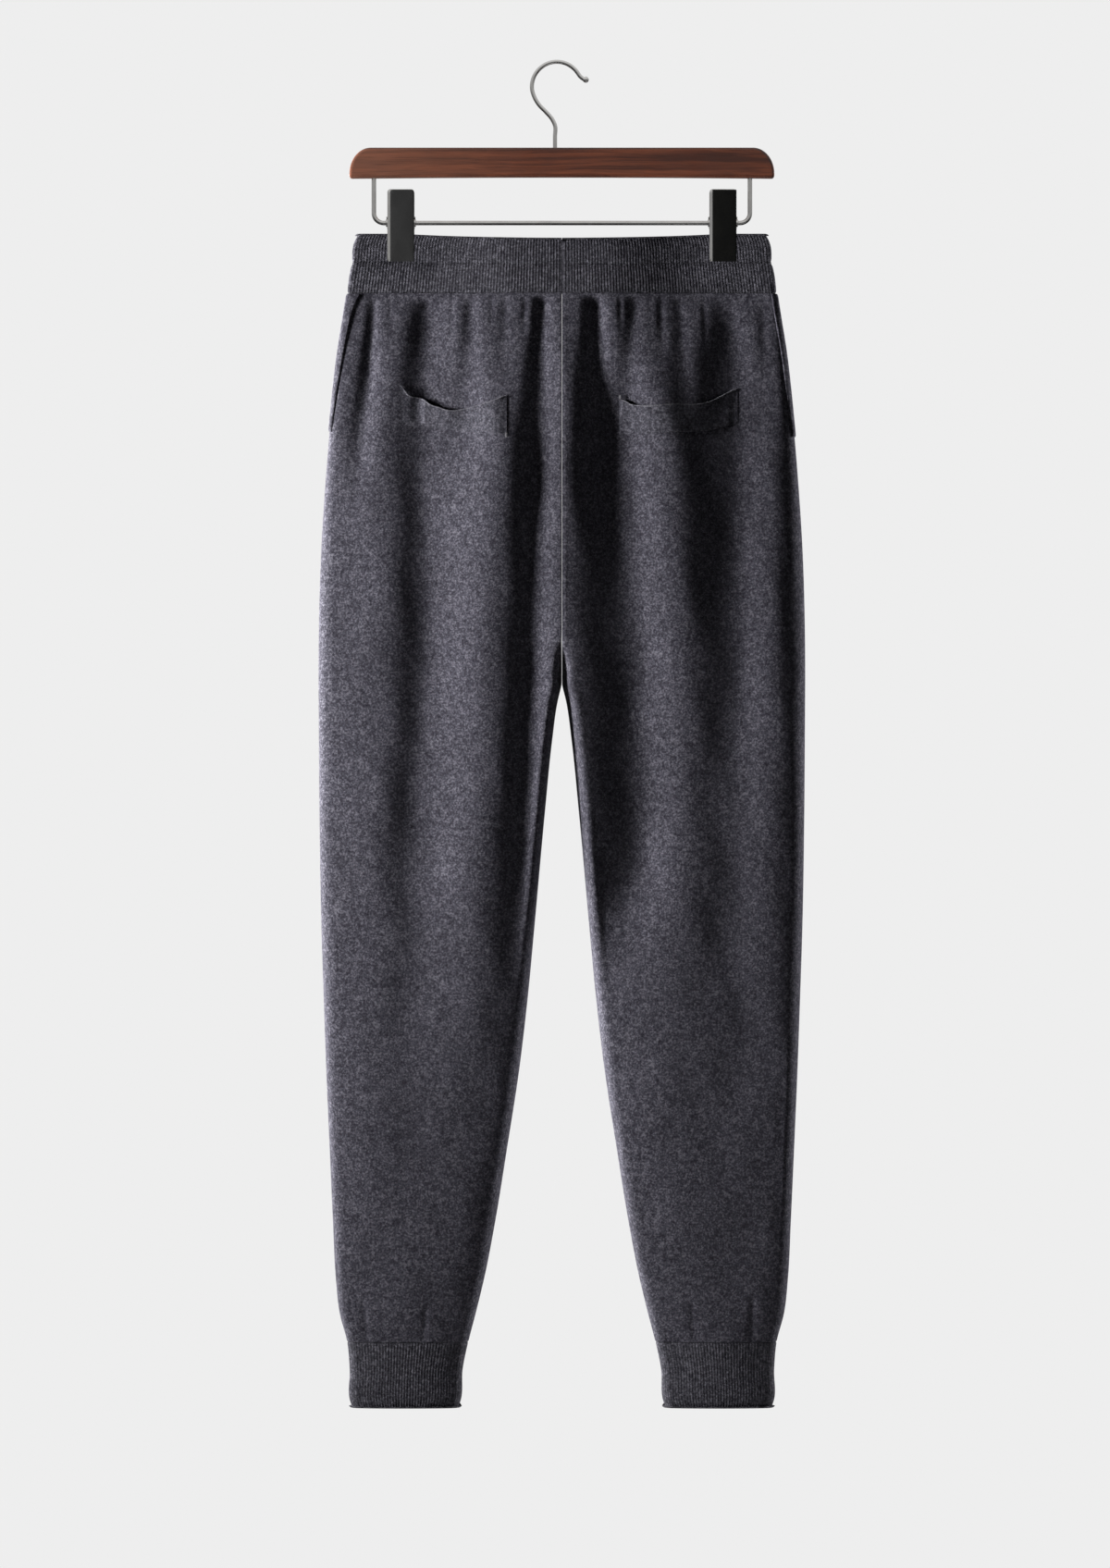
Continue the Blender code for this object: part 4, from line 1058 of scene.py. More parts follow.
@dataclass
class RibbedRing:
    """A ring of one by one rib, sewn to the body along one edge and folded at the other."""

    name: str
    path: tuple[tuple[Side, Face, float, float], ...]
    seam: float
    fold: float
    wall: float
    rib_depth: float
    rib_pitch: float = 0.0026
    points_per_rib: int = 6
    step: float = 0.0016
    fine_step: float = 0.0005         # of its rows at the seam and at the stitched line
    fine_reach: float = 0.0020
    turn_steps: int = 8               # over the fold
    seam_drop: float = 0.0010
    seam_roll: float = 0.0026
    end_drop: float = 0.0004
    end_roll: float = 0.0012
    groove: float | None = None       # the height of a stitched line between two tiers
    groove_depth: float = 0.0008
    groove_half: float = 0.0024
    tier_swell: float = 0.0007
    sag: float = 0.0
    waver: float = 0.0

    def rows(self) -> tuple[Array, Array]:
        """Give the rows of its outer face and of its rolled fold.

        Returns:
            Their heights, and how far each lies behind the section.
        """
        way = math.copysign(1.0, self.seam - self.fold)
        radius = self.wall / 2
        stops = [self.seam, self.seam - way * self.fine_reach]
        steps = [self.fine_step, self.step]
        if self.groove is not None:
            round_it = way * 2 * self.groove_half
            stops += [self.groove + round_it, self.groove - round_it]
            steps += [self.fine_step, self.step]
        stops.append(self.fold + way * radius)
        heights = graded(stops, steps)
        drops = self.seam_drop * (1.0 - rolled(np.abs(heights - self.seam), self.seam_roll))
        if self.groove is not None:
            away = (heights - self.groove) / self.groove_half
            drops = drops + self.groove_depth * np.exp(-(away**2))
            for low, top in ((self.seam, self.groove), (self.groove, self.fold)):
                share = np.clip((heights - low) / (top - low), 0.0, 1.0)
                drops = drops - self.tier_swell * np.sin(share * math.pi)
        turn = np.linspace(0.0, math.pi, self.turn_steps + 1)[1:]
        heights = np.concatenate([heights, self.fold + way * radius * (1.0 - np.sin(turn))])
        drops = np.concatenate([drops, radius * (1.0 - np.cos(turn))])
        return heights, drops

    def ring(self, heights: Array, count: int, dense: int = 1200) -> Array:
        """Lay rows of evenly spaced points round the ring.

        Args:
            heights: the rows' heights.
            count: how many steps each row has.
            dense: how many points each stretch of the path is read at.

        Returns:
            The rows of points.
        """
        ease = (1.0 - np.cos(math.pi * np.linspace(0.0, 1.0, dense))) / 2
        rows = []
        for z in heights:
            line = np.concatenate([FORM.cloth(side, face, start + (stop - start) * ease, z, False)
                                   for side, face, start, stop in self.path])
            reach = lengths_along(line)
            rows.append(points_at(np.linspace(0.0, reach[-1], count + 1), reach, line))
        return np.array(rows)

    def settle(self, points: Array) -> None:
        """Let the fold sag between the clips, and the rows waver a little.

        Args:
            points: the points, before the hanger's offset, changed in place.
        """
        held = (points[..., 2] - self.seam) / (self.fold - self.seam)
        x = points[..., 0]
        between = np.clip(1.0 - (x / FORM.clip_x) ** 2, 0.0, 1.0)
        waves = np.sin(72.0 * x + 0.6) + 0.6 * np.sin(151.0 * x + 2.1)
        points[..., 2] += self.waver * waves * held * (1.0 - held) * 4.0
        points[..., 2] -= self.sag * held * between

    def build(self, material: Material) -> Piece:
        """Make the ring.

        Args:
            material: its knit.

        Returns:
            The ring's piece.
        """
        heights, drops = self.rows()
        length = lengths_along(self.ring(heights[:1], 400)[0])[-1]
        ribs = round(length / self.rib_pitch)
        count = ribs * self.points_per_rib
        base = self.ring(heights, count)
        normals = normals_of(base, way_out(base))
        phase = np.arange(count + 1) / self.points_per_rib * 2 * math.pi
        over_fold = 1.0 - ramp((drops - self.wall * 0.2) / (self.wall * 0.8))
        ribbing = self.rib_depth * (0.5 - 0.5 * np.cos(phase))[None, :] * over_fold[:, None]
        along = np.linspace(0.0, length, count + 1)
        from_ends = np.minimum(along, length - along)
        ends = self.end_drop * (1.0 - rolled(from_ends, self.end_roll))
        relief = ribbing + ends[None, :] * over_fold[:, None] + drops[:, None]
        outer = base - normals * relief[..., None]
        outer[..., 2] = heights[:, None]
        keep = thinned(count + 1, 4)
        inner_heights = np.linspace(heights[-1], self.seam, 12)
        plain = self.ring(inner_heights, count)[:, keep]
        inner = plain - self.wall * normals_of(plain, way_out(plain))
        inner[..., 2] = inner_heights[:, None]
        self.settle(outer)
        self.settle(inner)
        places = np.stack(np.broadcast_arrays(along[None, :], heights[:, None]), axis=-1)
        inner_places = np.stack(np.broadcast_arrays(along[None, keep], inner_heights[:, None]),
                                axis=-1)
        fabric = Fabric()
        near = fabric.add_points(outer + HUNG, places)
        far = fabric.add_points(inner + HUNG, inner_places)
        fabric.add_sheet(near)
        fabric.add_sheet(far)
        fabric.add_ladder(near[-1], far[0])
        fabric.add_ladder(far[-1], near[0])
        fabric.add_ladder(near[:, 0], far[::-1, 0])
        fabric.add_ladder(far[::-1, -1], near[:, -1])
        return fabric.finished(f"{self.name}_cloth", material, 75.0, self.name)

    def cut(self) -> Cut:
        """Give the strip's flat cut: its length round the form, by its height."""
        middle = (self.seam + self.fold) / 2
        length = float(lengths_along(self.ring(np.array([middle]), 400)[0])[-1])
        height = abs(self.seam - self.fold)
        return Cut(length, height, length * height)


@dataclass
class TierStitches:
    """The thread that holds the waistband's two tiers, a row of short stitches round it."""

    ring: RibbedRing
    pitch: float = 0.0045
    length: float = 0.0028
    thread: float = 0.00028
    sunk: float = 0.8                 # they lie this share of the groove's depth down
    end_gaps: tuple[float, float] = (0.0040, 0.0080)

    def build(self, material: Material) -> Piece:
        """Make the stitches.

        Args:
            material: the thread.

        Returns:
            All stitches as one piece.
        """
        z = FORM.waist_groove
        line = self.ring.ring(np.array([z]), 2000)
        two = np.concatenate([line, line + np.array([0.0, 0.0, 0.001])])
        normals = normals_of(two, way_out(two))[0]
        reach = lengths_along(line[0])
        fabric = Fabric()
        for start in np.arange(self.end_gaps[0], reach[-1] - self.end_gaps[1], self.pitch):
            at = start + np.linspace(0.0, self.length, 5)
            points = points_at(at, reach, line[0])
            out = points_at(at, reach, normals)
            rise = self.thread * 0.8 * np.sin(np.linspace(0.0, math.pi, 5))[:, None]
            points = points + out * (rise - self.ring.groove_depth * self.sunk)
            self.ring.settle(points)
            fabric.add_tube(points + HUNG, self.thread, 6)
        return fabric.finished("tier_stitches", material)


@dataclass
class Tack:
    """A few stitches that hold one end of a pocket."""

    name: str
    side: Side
    x: float
    top: float
    low: float
    proud: float = 0.0018
    thread: float = 0.00035

    def build(self, material: Material) -> Piece:
        """Make the tack.

        Args:
            material: the thread.

        Returns:
            Its stitches as one piece.
        """
        fabric = Fabric()
        for shift in (-1.0, 0.0, 1.0):
            z = np.linspace(self.top, self.low, 7)
            x = np.full_like(z, self.x + shift * self.thread * 1.5)
            points = FORM.at_x(self.side, Face.BACK, x, z)
            points[:, 1] -= self.proud + self.thread * np.sin(np.linspace(0.0, math.pi, 7))
            fabric.add_tube(points + HUNG, self.thread, 6)
        return fabric.finished(self.name, material)


# ---- the hanger
@dataclass
class HangerBar:
    """The wooden bar, with rounded shoulders and soft edges."""

    half_length: float = 0.1846
    top: float = -0.0732
    bottom: float = -0.0997
    depth: float = 0.0130
    shoulder: float = 0.0185
    shoulder_drop: float = 0.0225
    arch: float = 0.0010
    edge: float = 0.0022

    def build(self, material: Material) -> Piece:
        """Make the bar.

        Args:
            material: its wood.

        Returns:
            The bar's piece.
        """
        angles = np.linspace(0.0, math.pi / 2, 20)
        right = [(self.half_length - self.shoulder * (1.0 - math.sin(a)),
                  self.top - self.shoulder_drop * (1.0 - math.cos(a))) for a in angles]
        under = [(x, self.bottom + self.arch * (1.0 - (x / self.half_length) ** 2))
                 for x in np.linspace(self.half_length, -self.half_length, 33)]
        outline = np.array(right + under + [(-x, z) for x, z in reversed(right)])
        fabric = Fabric()
        near, far = (fabric.add_points(np.insert(outline, 1, y, axis=1) + HUNG)
                     for y in (-self.depth / 2, self.depth / 2))
        fabric.add_sheet(np.stack([np.append(near, near[0]), np.append(far, far[0])]))
        fabric.faces.append(tuple(near[::-1].tolist()))
        fabric.faces.append(tuple(far.tolist()))
        piece = fabric.finished("hanger_bar_wood", material, 40.0, "hanger_bar")
        soft = piece.modifiers.new("soft_edges", "BEVEL")
        soft.width = self.edge
        soft.segments = 5
        soft.limit_method = "ANGLE"
        soft.angle_limit = math.radians(50)
        return piece


def arc(centre: tuple[float, float], radius: float, first: float, last: float,
        count: int) -> list[tuple[float, float]]:
    """Lay points along an arc.

    Args:
        centre: its centre, along X and Z.
        radius: its radius.
        first: its first angle, in degrees from +X towards +Z.
        last: its last angle.
        count: how many points it has.

    Returns:
        The points.
    """
    angles = np.radians(np.linspace(first, last, count))
    return [(centre[0] + radius * math.cos(a), centre[1] + radius * math.sin(a)) for a in angles]


def smoothed(points: Sequence[tuple[float, float]], step: float) -> Array:
    """Draw a smooth line through points in the hanger's plane.

    Args:
        points: places along X and Z.
        step: about how far apart its points are.

    Returns:
        Points in space.
    """
    flat = np.array([(x, 0.0, z) for x, z in points])
    reach = lengths_along(flat)
    wanted = np.linspace(0.0, reach[-1], round(reach[-1] / step))
    return np.stack([through(reach, flat[:, k], wanted) for k in range(3)], axis=-1)


@dataclass
class HangerHook:
    """The wire hook, from its stem in the bar to the ball at its tip."""

    wire: float = 0.0018
    radius: float = 0.0217
    stem_x: float = -0.0016
    bar_top: float = -0.0732
    depth_in_bar: float = 0.0060
    ball: float = 0.0024
    crown: tuple[float, float] = (182.0, 36.0)          # degrees, from the sweep to the flare
    rises: tuple[float, ...] = (0.0010, 0.0100, 0.0195)  # of the straight stem over the bar
    sweep: tuple[tuple[float, float], ...] = (
        (-0.0042, -0.0480), (-0.0098, -0.0415), (-0.0158, -0.0352), (-0.0197, -0.0285))
    flare: tuple[tuple[float, float], ...] = (
        (0.0206, -0.0112), (0.0232, -0.0131), (0.0262, -0.0138), (0.0272, -0.0138))

    def build(self, material: Material) -> Piece:
        """Make the hook.

        Args:
            material: its chrome.

        Returns:
            The hook's piece.
        """
        stem = [(self.stem_x, self.bar_top + rise) for rise in (-self.depth_in_bar, *self.rises)]
        crown = arc((0.0, self.wire - self.radius), self.radius, *self.crown, 25)
        line = smoothed(stem + list(self.sweep) + crown + list(self.flare), 0.0010)
        from_tip = np.linalg.norm(line - line[-1], axis=1)
        ball = np.sqrt(np.clip(self.ball**2 - (from_tip - self.ball * 0.8) ** 2, 0.0, None))
        fabric = Fabric()
        fabric.add_tube(line, np.maximum(self.wire * (from_tip > self.ball), ball + 0.0004), 24)
        return fabric.finished("hanger_hook_wire", material, 60.0, "hanger_hook")


@dataclass
class HangerRail:
    """The wire rail under the bar, which carries the clips."""

    wire: float = 0.0020
    x: float = 0.1635
    z: float = -0.1384
    bend: float = 0.0085
    bar_bottom: float = -0.0997
    depth_in_bar: float = 0.0040

    def build(self, material: Material) -> Piece:
        """Make the rail.

        Args:
            material: its chrome.

        Returns:
            The rail's piece.
        """
        top = self.bar_bottom + self.depth_in_bar
        left = [(-self.x, top), (-self.x, (top + self.z + self.bend) / 2)]
        left += arc((-self.x + self.bend, self.z + self.bend), self.bend, 180.0, 270.0, 12)
        points = left + [(-x, z) for x, z in reversed(left)]
        line = np.array([(x + HUNG_X, 0.0, z) for x, z in points])
        reach = lengths_along(line)
        wanted = np.unique(np.concatenate([reach, np.linspace(0.0, reach[-1], 120)]))
        line = points_at(wanted, reach, line)
        fabric = Fabric()
        fabric.add_tube(line, self.wire, 24)
        return fabric.finished("hanger_rail_wire", material, 60.0, "hanger_rail")


class Plate(NamedTuple):
    """A plate's edges, the planes of its outer and inner face, its corners and its crown."""

    low_x: float
    high_x: float
    near: float
    far: float
    low_z: float
    high_z: float
    corner: float
    crown: float = 0.0


def add_plate(fabric: Fabric, plate: Plate) -> None:
    """Add a plate with rounded corners, a bevelled rim and a crowned face.

    Args:
        fabric: the piece it is added to.
        plate: its sizes.
    """
    middle_x = (plate.low_x + plate.high_x) / 2
    middle_z = (plate.low_z + plate.high_z) / 2
    outline: list[tuple[float, float]] = []
    for x, z, first in ((plate.high_x, plate.high_z, 0.0), (plate.low_x, plate.high_z, 90.0),
                        (plate.low_x, plate.low_z, 180.0), (plate.high_x, plate.low_z, 270.0)):
        radius = plate.corner if z == plate.high_z else min(plate.corner, LOW_CORNER)
        middle = (x - math.copysign(radius, x - middle_x), z - math.copysign(radius, z - middle_z))
        outline += arc(middle, radius, first, first + 90.0, 8)
    flat = np.array(outline)
    centre = flat.mean(axis=0)
    from_centre = flat - centre
    out = math.copysign(1.0, plate.near - plate.far)
    thick = abs(plate.near - plate.far)
    rings = [(centre + from_centre * share, plate.near + out * plate.crown * (1.0 - share**2))
             for share in (0.3, 0.6, 0.9)]
    for inset, depth in ((0.35, 0.0), (0.0, 0.30), (0.0, 1.0)):
        share = 1.0 - inset * thick / np.abs(from_centre).max(axis=0)
        rings.append((centre + from_centre * share, plate.near - out * thick * depth))
    numbers = [fabric.add_points(np.insert(ring, 1, y, axis=1)) for ring, y in rings]
    closed = np.array([np.append(row, row[0]) for row in numbers])
    fabric.add_sheet(closed if out < 0 else closed[:, ::-1])
    cap, floor = numbers[0].tolist(), numbers[-1].tolist()
    fabric.faces.append(tuple(cap if out > 0 else cap[::-1]))
    fabric.faces.append(tuple(floor[::-1] if out > 0 else floor))


@dataclass
class Clip:
    """One clip: two sprung steel jaws, their covers and their ribbed grips.

    The studio's light is hard and comes from one side, so the clips cast no shadow: in the
    photograph the cloth beside them isn't shaded.
    """

    side: Side
    x: float = 0.1400
    width: float = 0.0233
    top: float = -0.1094
    bottom: float = -0.1721
    jaw_outer: float = 0.0070
    jaw_wall: float = 0.0012
    cover_width: float = 0.0209
    cover_wall: float = 0.0012
    cover_crown: float = 0.0003
    corner: float = 0.0025
    square_corner: float = 0.0006     # of the right clip's covers
    grip_top: float = -0.1510
    grip_bottom: float = -0.1708
    grip_in: float = 0.0037
    grip_teeth: int = 9
    tooth: float = 0.0003
    grip_inset: float = 0.0008
    rail_z: float = -0.1384
    barrel: float = 0.0034
    spring_radius: float = 0.0050
    spring_wire: float = 0.0007
    spring_turns: int = 5
    spring_pitch: float = 2.2         # of a spring's turns, as a multiple of its wire
    half_barrel: float = 0.0128
    half_lug: float = 0.0006          # the jaws' side lugs hold the barrel
    lug_reach: float = 0.0100
    lug_corner: float = 0.0003

    @property
    def label(self) -> str:
        """The clip's plain name."""
        return f"clip_{self.side.label}"

    @property
    def middle(self) -> float:
        """The clip's place across the hanger."""
        return HUNG_X + self.side.value * self.x

    def dressed(self, fabric: Fabric, piece_name: str, node: str, material: Material,
                sharp: float) -> Piece:
        """Finish one of the clip's pieces in the place of its solid.

        Args:
            fabric: its points and faces.
            piece_name: the piece's name on this clip.
            node: its solid's name on this clip.
            material: its finish.
            sharp: edges that turn by more degrees stay sharp.

        Returns:
            The piece.
        """
        piece = fabric.finished(f"{self.label}_{piece_name}", material, sharp,
                                f"{self.label}_{node}")
        piece.visible_shadow = False
        return piece

    def build_frame(self, material: Material) -> Piece:
        """Make the jaws, the barrel and its springs.

        Args:
            material: its chrome.

        Returns:
            The clip's steel piece.
        """
        fabric = Fabric()
        half = self.width / 2
        for face in (-1.0, 1.0):
            far = face * (self.jaw_outer - self.jaw_wall)
            add_plate(fabric, Plate(self.middle - half, self.middle + half, face * self.jaw_outer,
                                    far, self.bottom, self.top, self.corner))
            for x in (self.middle - half + self.half_lug, self.middle + half - self.half_lug):
                add_plate(fabric, Plate(x - self.half_lug, x + self.half_lug, far,
                                        face * self.grip_in, self.rail_z - self.lug_reach,
                                        self.rail_z + self.lug_reach, self.lug_corner))
        ends = np.array([(self.middle - self.half_barrel, 0.0, self.rail_z),
                         (self.middle + self.half_barrel, 0.0, self.rail_z)])
        fabric.add_tube(ends[0] + (ends[1] - ends[0]) * np.linspace(0.0, 1.0, 6)[:, None],
                        self.barrel, 20)
        for way in (-1.0, 1.0):
            turns = np.linspace(0.0, 2 * math.pi * self.spring_turns, 24 * self.spring_turns)
            wound = turns / (2 * math.pi) * self.spring_wire * self.spring_pitch
            out = self.half_barrel - self.spring_wire - wound
            line = np.stack([self.middle + way * out, self.spring_radius * np.sin(turns),
                             self.rail_z + self.spring_radius * np.cos(turns)], axis=-1)
            fabric.add_tube(line, self.spring_wire, 8)
        return self.dressed(fabric, "steel", "frame", material, 35.0)

    def build_cover(self, face: Face, material: Material) -> Piece:
        """Make one jaw's cover.

        Args:
            face: the jaw's face.
            material: its finish.

        Returns:
            The cover's piece.
        """
        fabric = Fabric()
        right = self.middle + self.width / 2
        near = face.value * (self.jaw_outer + SEAM_GAP + self.cover_wall - self.cover_crown)
        add_plate(fabric, Plate(right - self.cover_width, right, near,
                                face.value * (self.jaw_outer + SEAM_GAP), self.bottom - 0.0004,
                                self.top - 0.0006,
                                self.corner if self.side is Side.LEFT else self.square_corner,
                                self.cover_crown))
        return self.dressed(fabric, f"pad_{face.label}", f"cover_{face.label}", material,
                            35.0)

    def build_grip(self, face: Face, material: Material) -> Piece:
        """Make one jaw's grip, toothed where it holds the cloth.

        Args:
            face: the jaw's face.
            material: its rubber.

        Returns:
            The grip's piece.
        """
        half = self.width / 2 - self.grip_inset
        count = self.grip_teeth * 6
        z = np.linspace(self.grip_top, self.grip_bottom, count + 1)
        teeth = np.abs(np.sin(np.linspace(0.0, math.pi * self.grip_teeth, count + 1)))
        near = self.grip_in + self.tooth * (1.0 - teeth)
        far = self.jaw_outer - self.jaw_wall - 0.0001
        xs = np.array([self.middle - half, self.middle - half / 3, self.middle + half / 3,
                       self.middle + half])
        grids = [np.stack(np.broadcast_arrays(xs, face.value * depth[:, None], z[:, None]),
                          axis=-1) for depth in (near, np.full(count + 1, far))]
        flip = face is Face.BACK
        outer, inner = (grid[:, ::-1] if flip else grid for grid in grids)
        places = outer[..., (0, 2)]
        fabric = Fabric()
        fabric.add_wall(outer, inner, places, places)
        return self.dressed(fabric, f"rubber_{face.label}", f"grip_{face.label}", material,
                            30.0)


# ---- shader nodes
class Nodes:
    """Adds nodes to one tree and links them."""

    def __init__(self, tree: Tree) -> None:
        """Start on a tree.

        Args:
            tree: the node tree that is built.
        """
        self.tree = tree

    def fill(self, node: Node, inputs: dict) -> None:
        """Give a node's inputs their values.

        Args:
            node: the node.
            inputs: values, or sockets to link from, by input name or number.
        """
        for key, value in inputs.items():
            socket = node.inputs[key]
            if isinstance(value, Socket):
                self.tree.links.new(value, socket)
            elif socket.type == "RGBA" and len(value) == 3:
                socket.default_value = (*value, 1.0)
            else:
                socket.default_value = value

    def add(self, kind: str, inputs: dict | None = None, **settings: object) -> Node:
        """Add a node.

        Args:
            kind: the node's type.
            inputs: values, or sockets to link from, by input name or number.
            settings: the node's own options.

        Returns:
            The node.
        """
        node = self.tree.nodes.new(kind)
        for name, value in settings.items():
            setattr(node, name, value)
        self.fill(node, inputs or {})
        return node

    def math(self, operation: str, one: object, two: object = 0.0) -> Socket:
        """Work out a number from one or two values or sockets."""
        return self.add("ShaderNodeMath", {0: one, 1: two}, operation=operation).outputs[0]

    def summed(self, one: Socket, share: float, two: Socket, other: float) -> Socket:
        """Add two values up, each by its own share."""
        return self.math("ADD", self.math("MULTIPLY", one, share),
                         self.math("MULTIPLY", two, other))

    def scaled(self, vector: Socket, factor: object) -> Socket:
        """Scale a place or a colour, by one number or by a vector's three."""
        kind, key = ("MULTIPLY", 1) if isinstance(factor, tuple) else ("SCALE", "Scale")
        return self.add("ShaderNodeVectorMath", {0: vector, key: factor},
                        operation=kind).outputs[0]

    def noise(self, vector: Socket, scale: float, detail: float, roughness: float) -> Socket:
        """Add noise.

        Args:
            vector: the places it is read at.
            scale: how many of its lumps fit in a unit.
            detail: how many finer layers it has.
            roughness: how strong they are.

        Returns:
            The noise's value, about 0.5.
        """
        return self.add("ShaderNodeTexNoise", {"Vector": vector, "Scale": scale,
                        "Detail": detail, "Roughness": roughness}).outputs[0]

    def window(self, value: Socket, low: float, high: float, to_low: float = 0.0,
               to_high: float = 1.0) -> Socket:
        """Stretch part of a value's range.

        Args:
            value: the value.
            low: what becomes to_low.
            high: what becomes to_high.
            to_low: the result's start.
            to_high: the result's end.

        Returns:
            The clamped result.
        """
        return self.add("ShaderNodeMapRange", {0: value, 1: low, 2: high, 3: to_low, 4: to_high},
                        clamp=True).outputs[0]

    def mixed(self, factor: object, one: object, two: object) -> Socket:
        """Mix two colours.

        Args:
            factor: how much of the second shows.
            one: the first colour or socket.
            two: the second.

        Returns:
            The mixed colour.
        """
        node = self.add("ShaderNodeMix", data_type="RGBA")
        numbers = {item.identifier: number for number, item in enumerate(node.inputs)}
        self.fill(node, {numbers["Factor_Float"]: factor, numbers["A_Color"]: one,
                         numbers["B_Color"]: two})
        return next(item for item in node.outputs if item.identifier == "Result_Color")

    def bump(self, height: Socket, distance: float, strength: float = 1.0, invert: bool = False,
             **under: Socket) -> Socket:
        """Turn a height into a normal.

        Args:
            height: the height.
            distance: how high a height of 1 is.
            strength: how strongly it shows.
            invert: whether it goes inwards.
            under: the Normal of the relief that it lies on, if any.

        Returns:
            The normal.
        """
        return self.add("ShaderNodeBump", {"Height": height, "Distance": distance,
                        "Strength": strength, **under}, invert=invert).outputs[0]


class Effect(Enum):
    """The effects that several finishes share."""

    HEATHER = "heather"
    LOOPS = "knit_loops"
    NAP = "nap"
    GRAIN = "wood_grain"
    WEAR = "wear"


class Effects:
    """The shared effects, each built once as a node group."""

    def __init__(self) -> None:
        """Build every group."""
        self.groups = {
            Effect.HEATHER: self.heather(),
            Effect.LOOPS: self.loops(),
            Effect.NAP: self.nap(),
            Effect.GRAIN: self.grain(),
            Effect.WEAR: self.wear(),
        }

    @staticmethod
    def start(effect: Effect, inputs: dict[str, object], outputs: dict[str, str]) -> tuple:
        """Start a group.

        Args:
            effect: which one.
            inputs: its named inputs, each with a default value.
            outputs: its named outputs, each with a socket type.

        Returns:
            The group, its nodes, its input node's sockets and its output node.
        """
        group = bpy.data.node_groups.new(effect.value, "ShaderNodeTree")
        kinds = {float: "NodeSocketFloat", tuple: "NodeSocketColor", str: "NodeSocketVector"}
        for name, value in inputs.items():
            socket = group.interface.new_socket(name=name, in_out="INPUT",
                                                socket_type=kinds[type(value)])
            if isinstance(value, float):
                socket.default_value = value
            elif isinstance(value, tuple):
                socket.default_value = (*value, 1.0)
        for name, kind in outputs.items():
            group.interface.new_socket(name=name, in_out="OUTPUT", socket_type=kind)
        nodes = Nodes(group)
        return group, nodes, nodes.add("NodeGroupInput").outputs, nodes.add("NodeGroupOutput")

    def heather(self) -> Tree:
        """Build the mottled colour of yarn spun from dark and light fibres.

        Returns:
            A group that turns a place and three yarn colours into a colour.
        """
        group, nodes, given, out = self.start(
            Effect.HEATHER,
            {"Vector": "place", "Dark": (0.02, 0.02, 0.02), "Body": (0.07, 0.07, 0.08),
             "Light": (0.2, 0.2, 0.2), "Scale": 1.0},
            {"Color": "NodeSocketColor"},
        )
        place = nodes.scaled(given["Vector"], given["Scale"])
        mottle = nodes.noise(place, 560.0, 2.0, 0.70)
        clusters = nodes.noise(place, 190.0, 2.0, 0.55)
        both = nodes.summed(mottle, 0.72, clusters, 0.28)
        dark = nodes.mixed(nodes.window(both, 0.33, 0.50), given["Dark"], given["Body"])
        light = nodes.mixed(nodes.window(both, 0.50, 0.66), dark, given["Light"])
        specks = nodes.window(nodes.noise(place, 520.0, 1.0, 0.4), 0.66, 0.74)
        speckled = nodes.mixed(nodes.math("MULTIPLY", specks, 0.55), light, given["Light"])
        clouds = nodes.window(nodes.noise(place, 26.0, 2.0, 0.5), 0.25, 0.75, 0.90, 1.10)
        nodes.fill(out, {"Color": nodes.scaled(speckled, clouds)})
        return group

    def loops(self) -> Tree:
        """Build the relief of knitted loops, one V for each stitch.

        Returns:
            A group that turns a pattern place and a stitch's size into a height.
        """
        group, nodes, given, out = self.start(
            Effect.LOOPS, {"Vector": "place", "Wale": 0.0017, "Course": 0.0013},
            {"Height": "NodeSocketFloat"},
        )
        split = nodes.add("ShaderNodeSeparateXYZ", {0: given["Vector"]}).outputs
        across = nodes.math("FRACT", nodes.math("DIVIDE", split[0], given["Wale"]))
        off_middle = nodes.math("ABSOLUTE", nodes.math("SUBTRACT", across, 0.5))
        arm = nodes.math("MULTIPLY", off_middle, 2.0)
        rise = nodes.math("DIVIDE", split[1], given["Course"])
        along = nodes.math("FRACT", nodes.math("ADD", rise, nodes.math("MULTIPLY", arm, 0.7)))
        strand = nodes.math("SINE", nodes.math("MULTIPLY", along, math.pi))
        belly = nodes.math("SINE", nodes.math("MULTIPLY", arm, math.pi))
        full = nodes.math("ADD", nodes.math("MULTIPLY", belly, 0.7), 0.5)
        nodes.fill(out, {"Height": nodes.math("MULTIPLY", full, strand)})
        return group

    def nap(self) -> Tree:
        """Build the fuzz of loose fibres.

        Returns:
            A group that turns a place into a height.
        """
        group, nodes, given, out = self.start(
            Effect.NAP, {"Vector": "place", "Scale": 1.0}, {"Height": "NodeSocketFloat"},
        )
        place = nodes.scaled(given["Vector"], given["Scale"])
        fuzz = nodes.noise(place, 900.0, 3.0, 0.7)
        tufts = nodes.noise(place, 330.0, 2.0, 0.6)
        nodes.fill(out, {"Height": nodes.summed(fuzz, 0.55, tufts, 0.45)})
        return group

